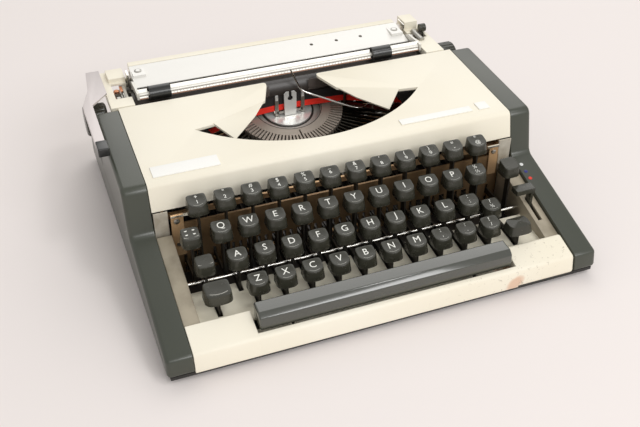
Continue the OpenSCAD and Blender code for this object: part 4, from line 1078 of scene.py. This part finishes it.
# %% Works in the carriage ends
works = [
    box((-136.0, 230.8, 72.6), (-127.4, 244.8, 73.2)) + (1,),
    box((-135.6, 222.0, 73.6), (-128.6, 243.0, 74.2)) + (0,),
    box((-134.4, 224.0, 74.2), (-131.0, 241.0, 76.2)) + (1,),
    turned((-130.2, 224.0, 76.0), (0, 1, 0), [(0, 1.1), (16.0, 1.1)], 16) + (2,),
    box((-130.0, 236.0, 74.0), (-127.0, 244.5, 77.4)) + (0,),
    turned((-133.0, 238.5, 75.6), (0, 0, 1), [(0, 2.2), (1.6, 2.2), (2.0, 1.5)], 24) + (0,),
    turned((-133.0, 228.0, 75.6), (0, 0, 1), [(0, 1.6), (1.2, 1.6)], 24) + (2,),
    box((-128.9, 215.0, 71.0), (-128.1, 234.0, 77.2)) + (2,),
]
for k in range(8):
    works.append(turned((-134.8 + k * 0.72, 232.6, 76.3), (1, 0, 0), [(0, 1.3), (0.36, 1.3)], 16) + (1,))
build("spacing_works", works, "carriage", [copper, dark_steel, steel], flat_angle=0.5)

right_works = [
    box((115.2, 250.0, 78.2), (115.9, 262.0, 86.4)) + (0,),
    turned((123.0, 229.0, 80.2), (0, 1, 0), [(0, 2.1), (0.6, 2.5), (18.0, 2.5), (18.6, 2.1)], 28) + (1,),
    turned((119.6, 239.0, 79.0), (1, 0, 0), [(0, 1.5), (7.0, 1.5)], 20) + (2,),
]
build("carriage_end_bar", right_works, "carriage", [chrome, steel, dark_steel], flat_angle=0.5)


PLATEN_Y, PLATEN_Z, KNOB_R, FLUTES = 226.0, 63.0, 12.0, 24


def fluted(x0, x1, radius):
    """A knob: r = R s (p w + (1 - p) 0.985), where the ripple w is 1 - 0.04 (1 + cos 24a) / 2. Scale s
    and share p are 1 in the middle, and fall over the last 1.8 mm, so that both rims are round."""
    angle = np.linspace(0, 2 * np.pi, FLUTES * 6, endpoint=False)
    ripple = 1 - 0.04 * (1 + np.cos(FLUTES * angle)) / 2
    rim = ((0.0, 0.88, 0), (0.8, 0.97, 0.3), (1.8, 1, 1))
    places = [(x0 + d, scale, share) for d, scale, share in rim]
    places += [(x1 - d, scale, share) for d, scale, share in rim[::-1]]
    rings = []
    for x, scale, share in places:
        r = radius * scale * (ripple * share + (1 - share) * 0.985)
        y, z = PLATEN_Y + r * np.cos(angle), PLATEN_Z + r * np.sin(angle)
        rings.append(np.column_stack([np.full(len(angle), x), y, z]))
    return closed_rings(rings)


knobs = [fluted(-161, -144, KNOB_R) + (0,), fluted(134, 151, KNOB_R) + (0,)]
build("platen_knobs_fluted", knobs, body_of_node("platen_knobs"), [key_plastic],
      replaces=["platen_knobs"], flat_angle=0.9)
print("knobs with", FLUTES, "flutes each")

# %% [markdown]
# A large soft window stands behind on the right and throws a faint shadow to the left, as in the
# photograph. A lamp at the front right fills the front faces, and a small one draws a bright line
# along the rounded edges. The floor is one pale sheet, so large that it shows no horizon.

# %% Floor and light
floor_mesh = bpy.data.meshes.new("floor")
floor_mesh.from_pydata([(-6, -6, 0), (6, -6, 0), (6, 6, 0), (-6, 6, 0)], [], [(0, 1, 2, 3)])
floor = bpy.data.objects.new("floor", floor_mesh)
scene.collection.objects.link(floor)
paper = Recipe("pale_sheet", (238, 231, 228), 0.9, specular=0.1)
floor_mesh.materials.append(paper.material)


def lamp(name, spot, size, watts, colour=(1, 1, 1)):
    light = bpy.data.lights.new(name, "AREA")
    light.shape = "RECTANGLE"
    light.size, light.size_y = size
    light.energy = watts
    light.color = colour
    holder = bpy.data.objects.new(name, light)
    holder.location = spot
    holder.rotation_euler = (-Vector(spot)).to_track_quat("-Z", "Y").to_euler()
    scene.collection.objects.link(holder)


lamp("window_light", (0.62, 1.45, 1.5), (1.9, 1.9), 13.0, (1.0, 0.985, 0.96))
lamp("fill_light", (0.55, -1.7, 1.3), (1.2, 0.8), 16.0)
lamp("edge_light", (0.62, -0.66, 1.75), (0.4, 0.22), 4.0)
world = bpy.data.worlds.new("studio")
scene.world = world
world.use_nodes = True
world.node_tree.nodes["Background"].inputs["Color"].default_value = (1.0, 0.985, 0.97, 1)
world.node_tree.nodes["Background"].inputs["Strength"].default_value = 0.62
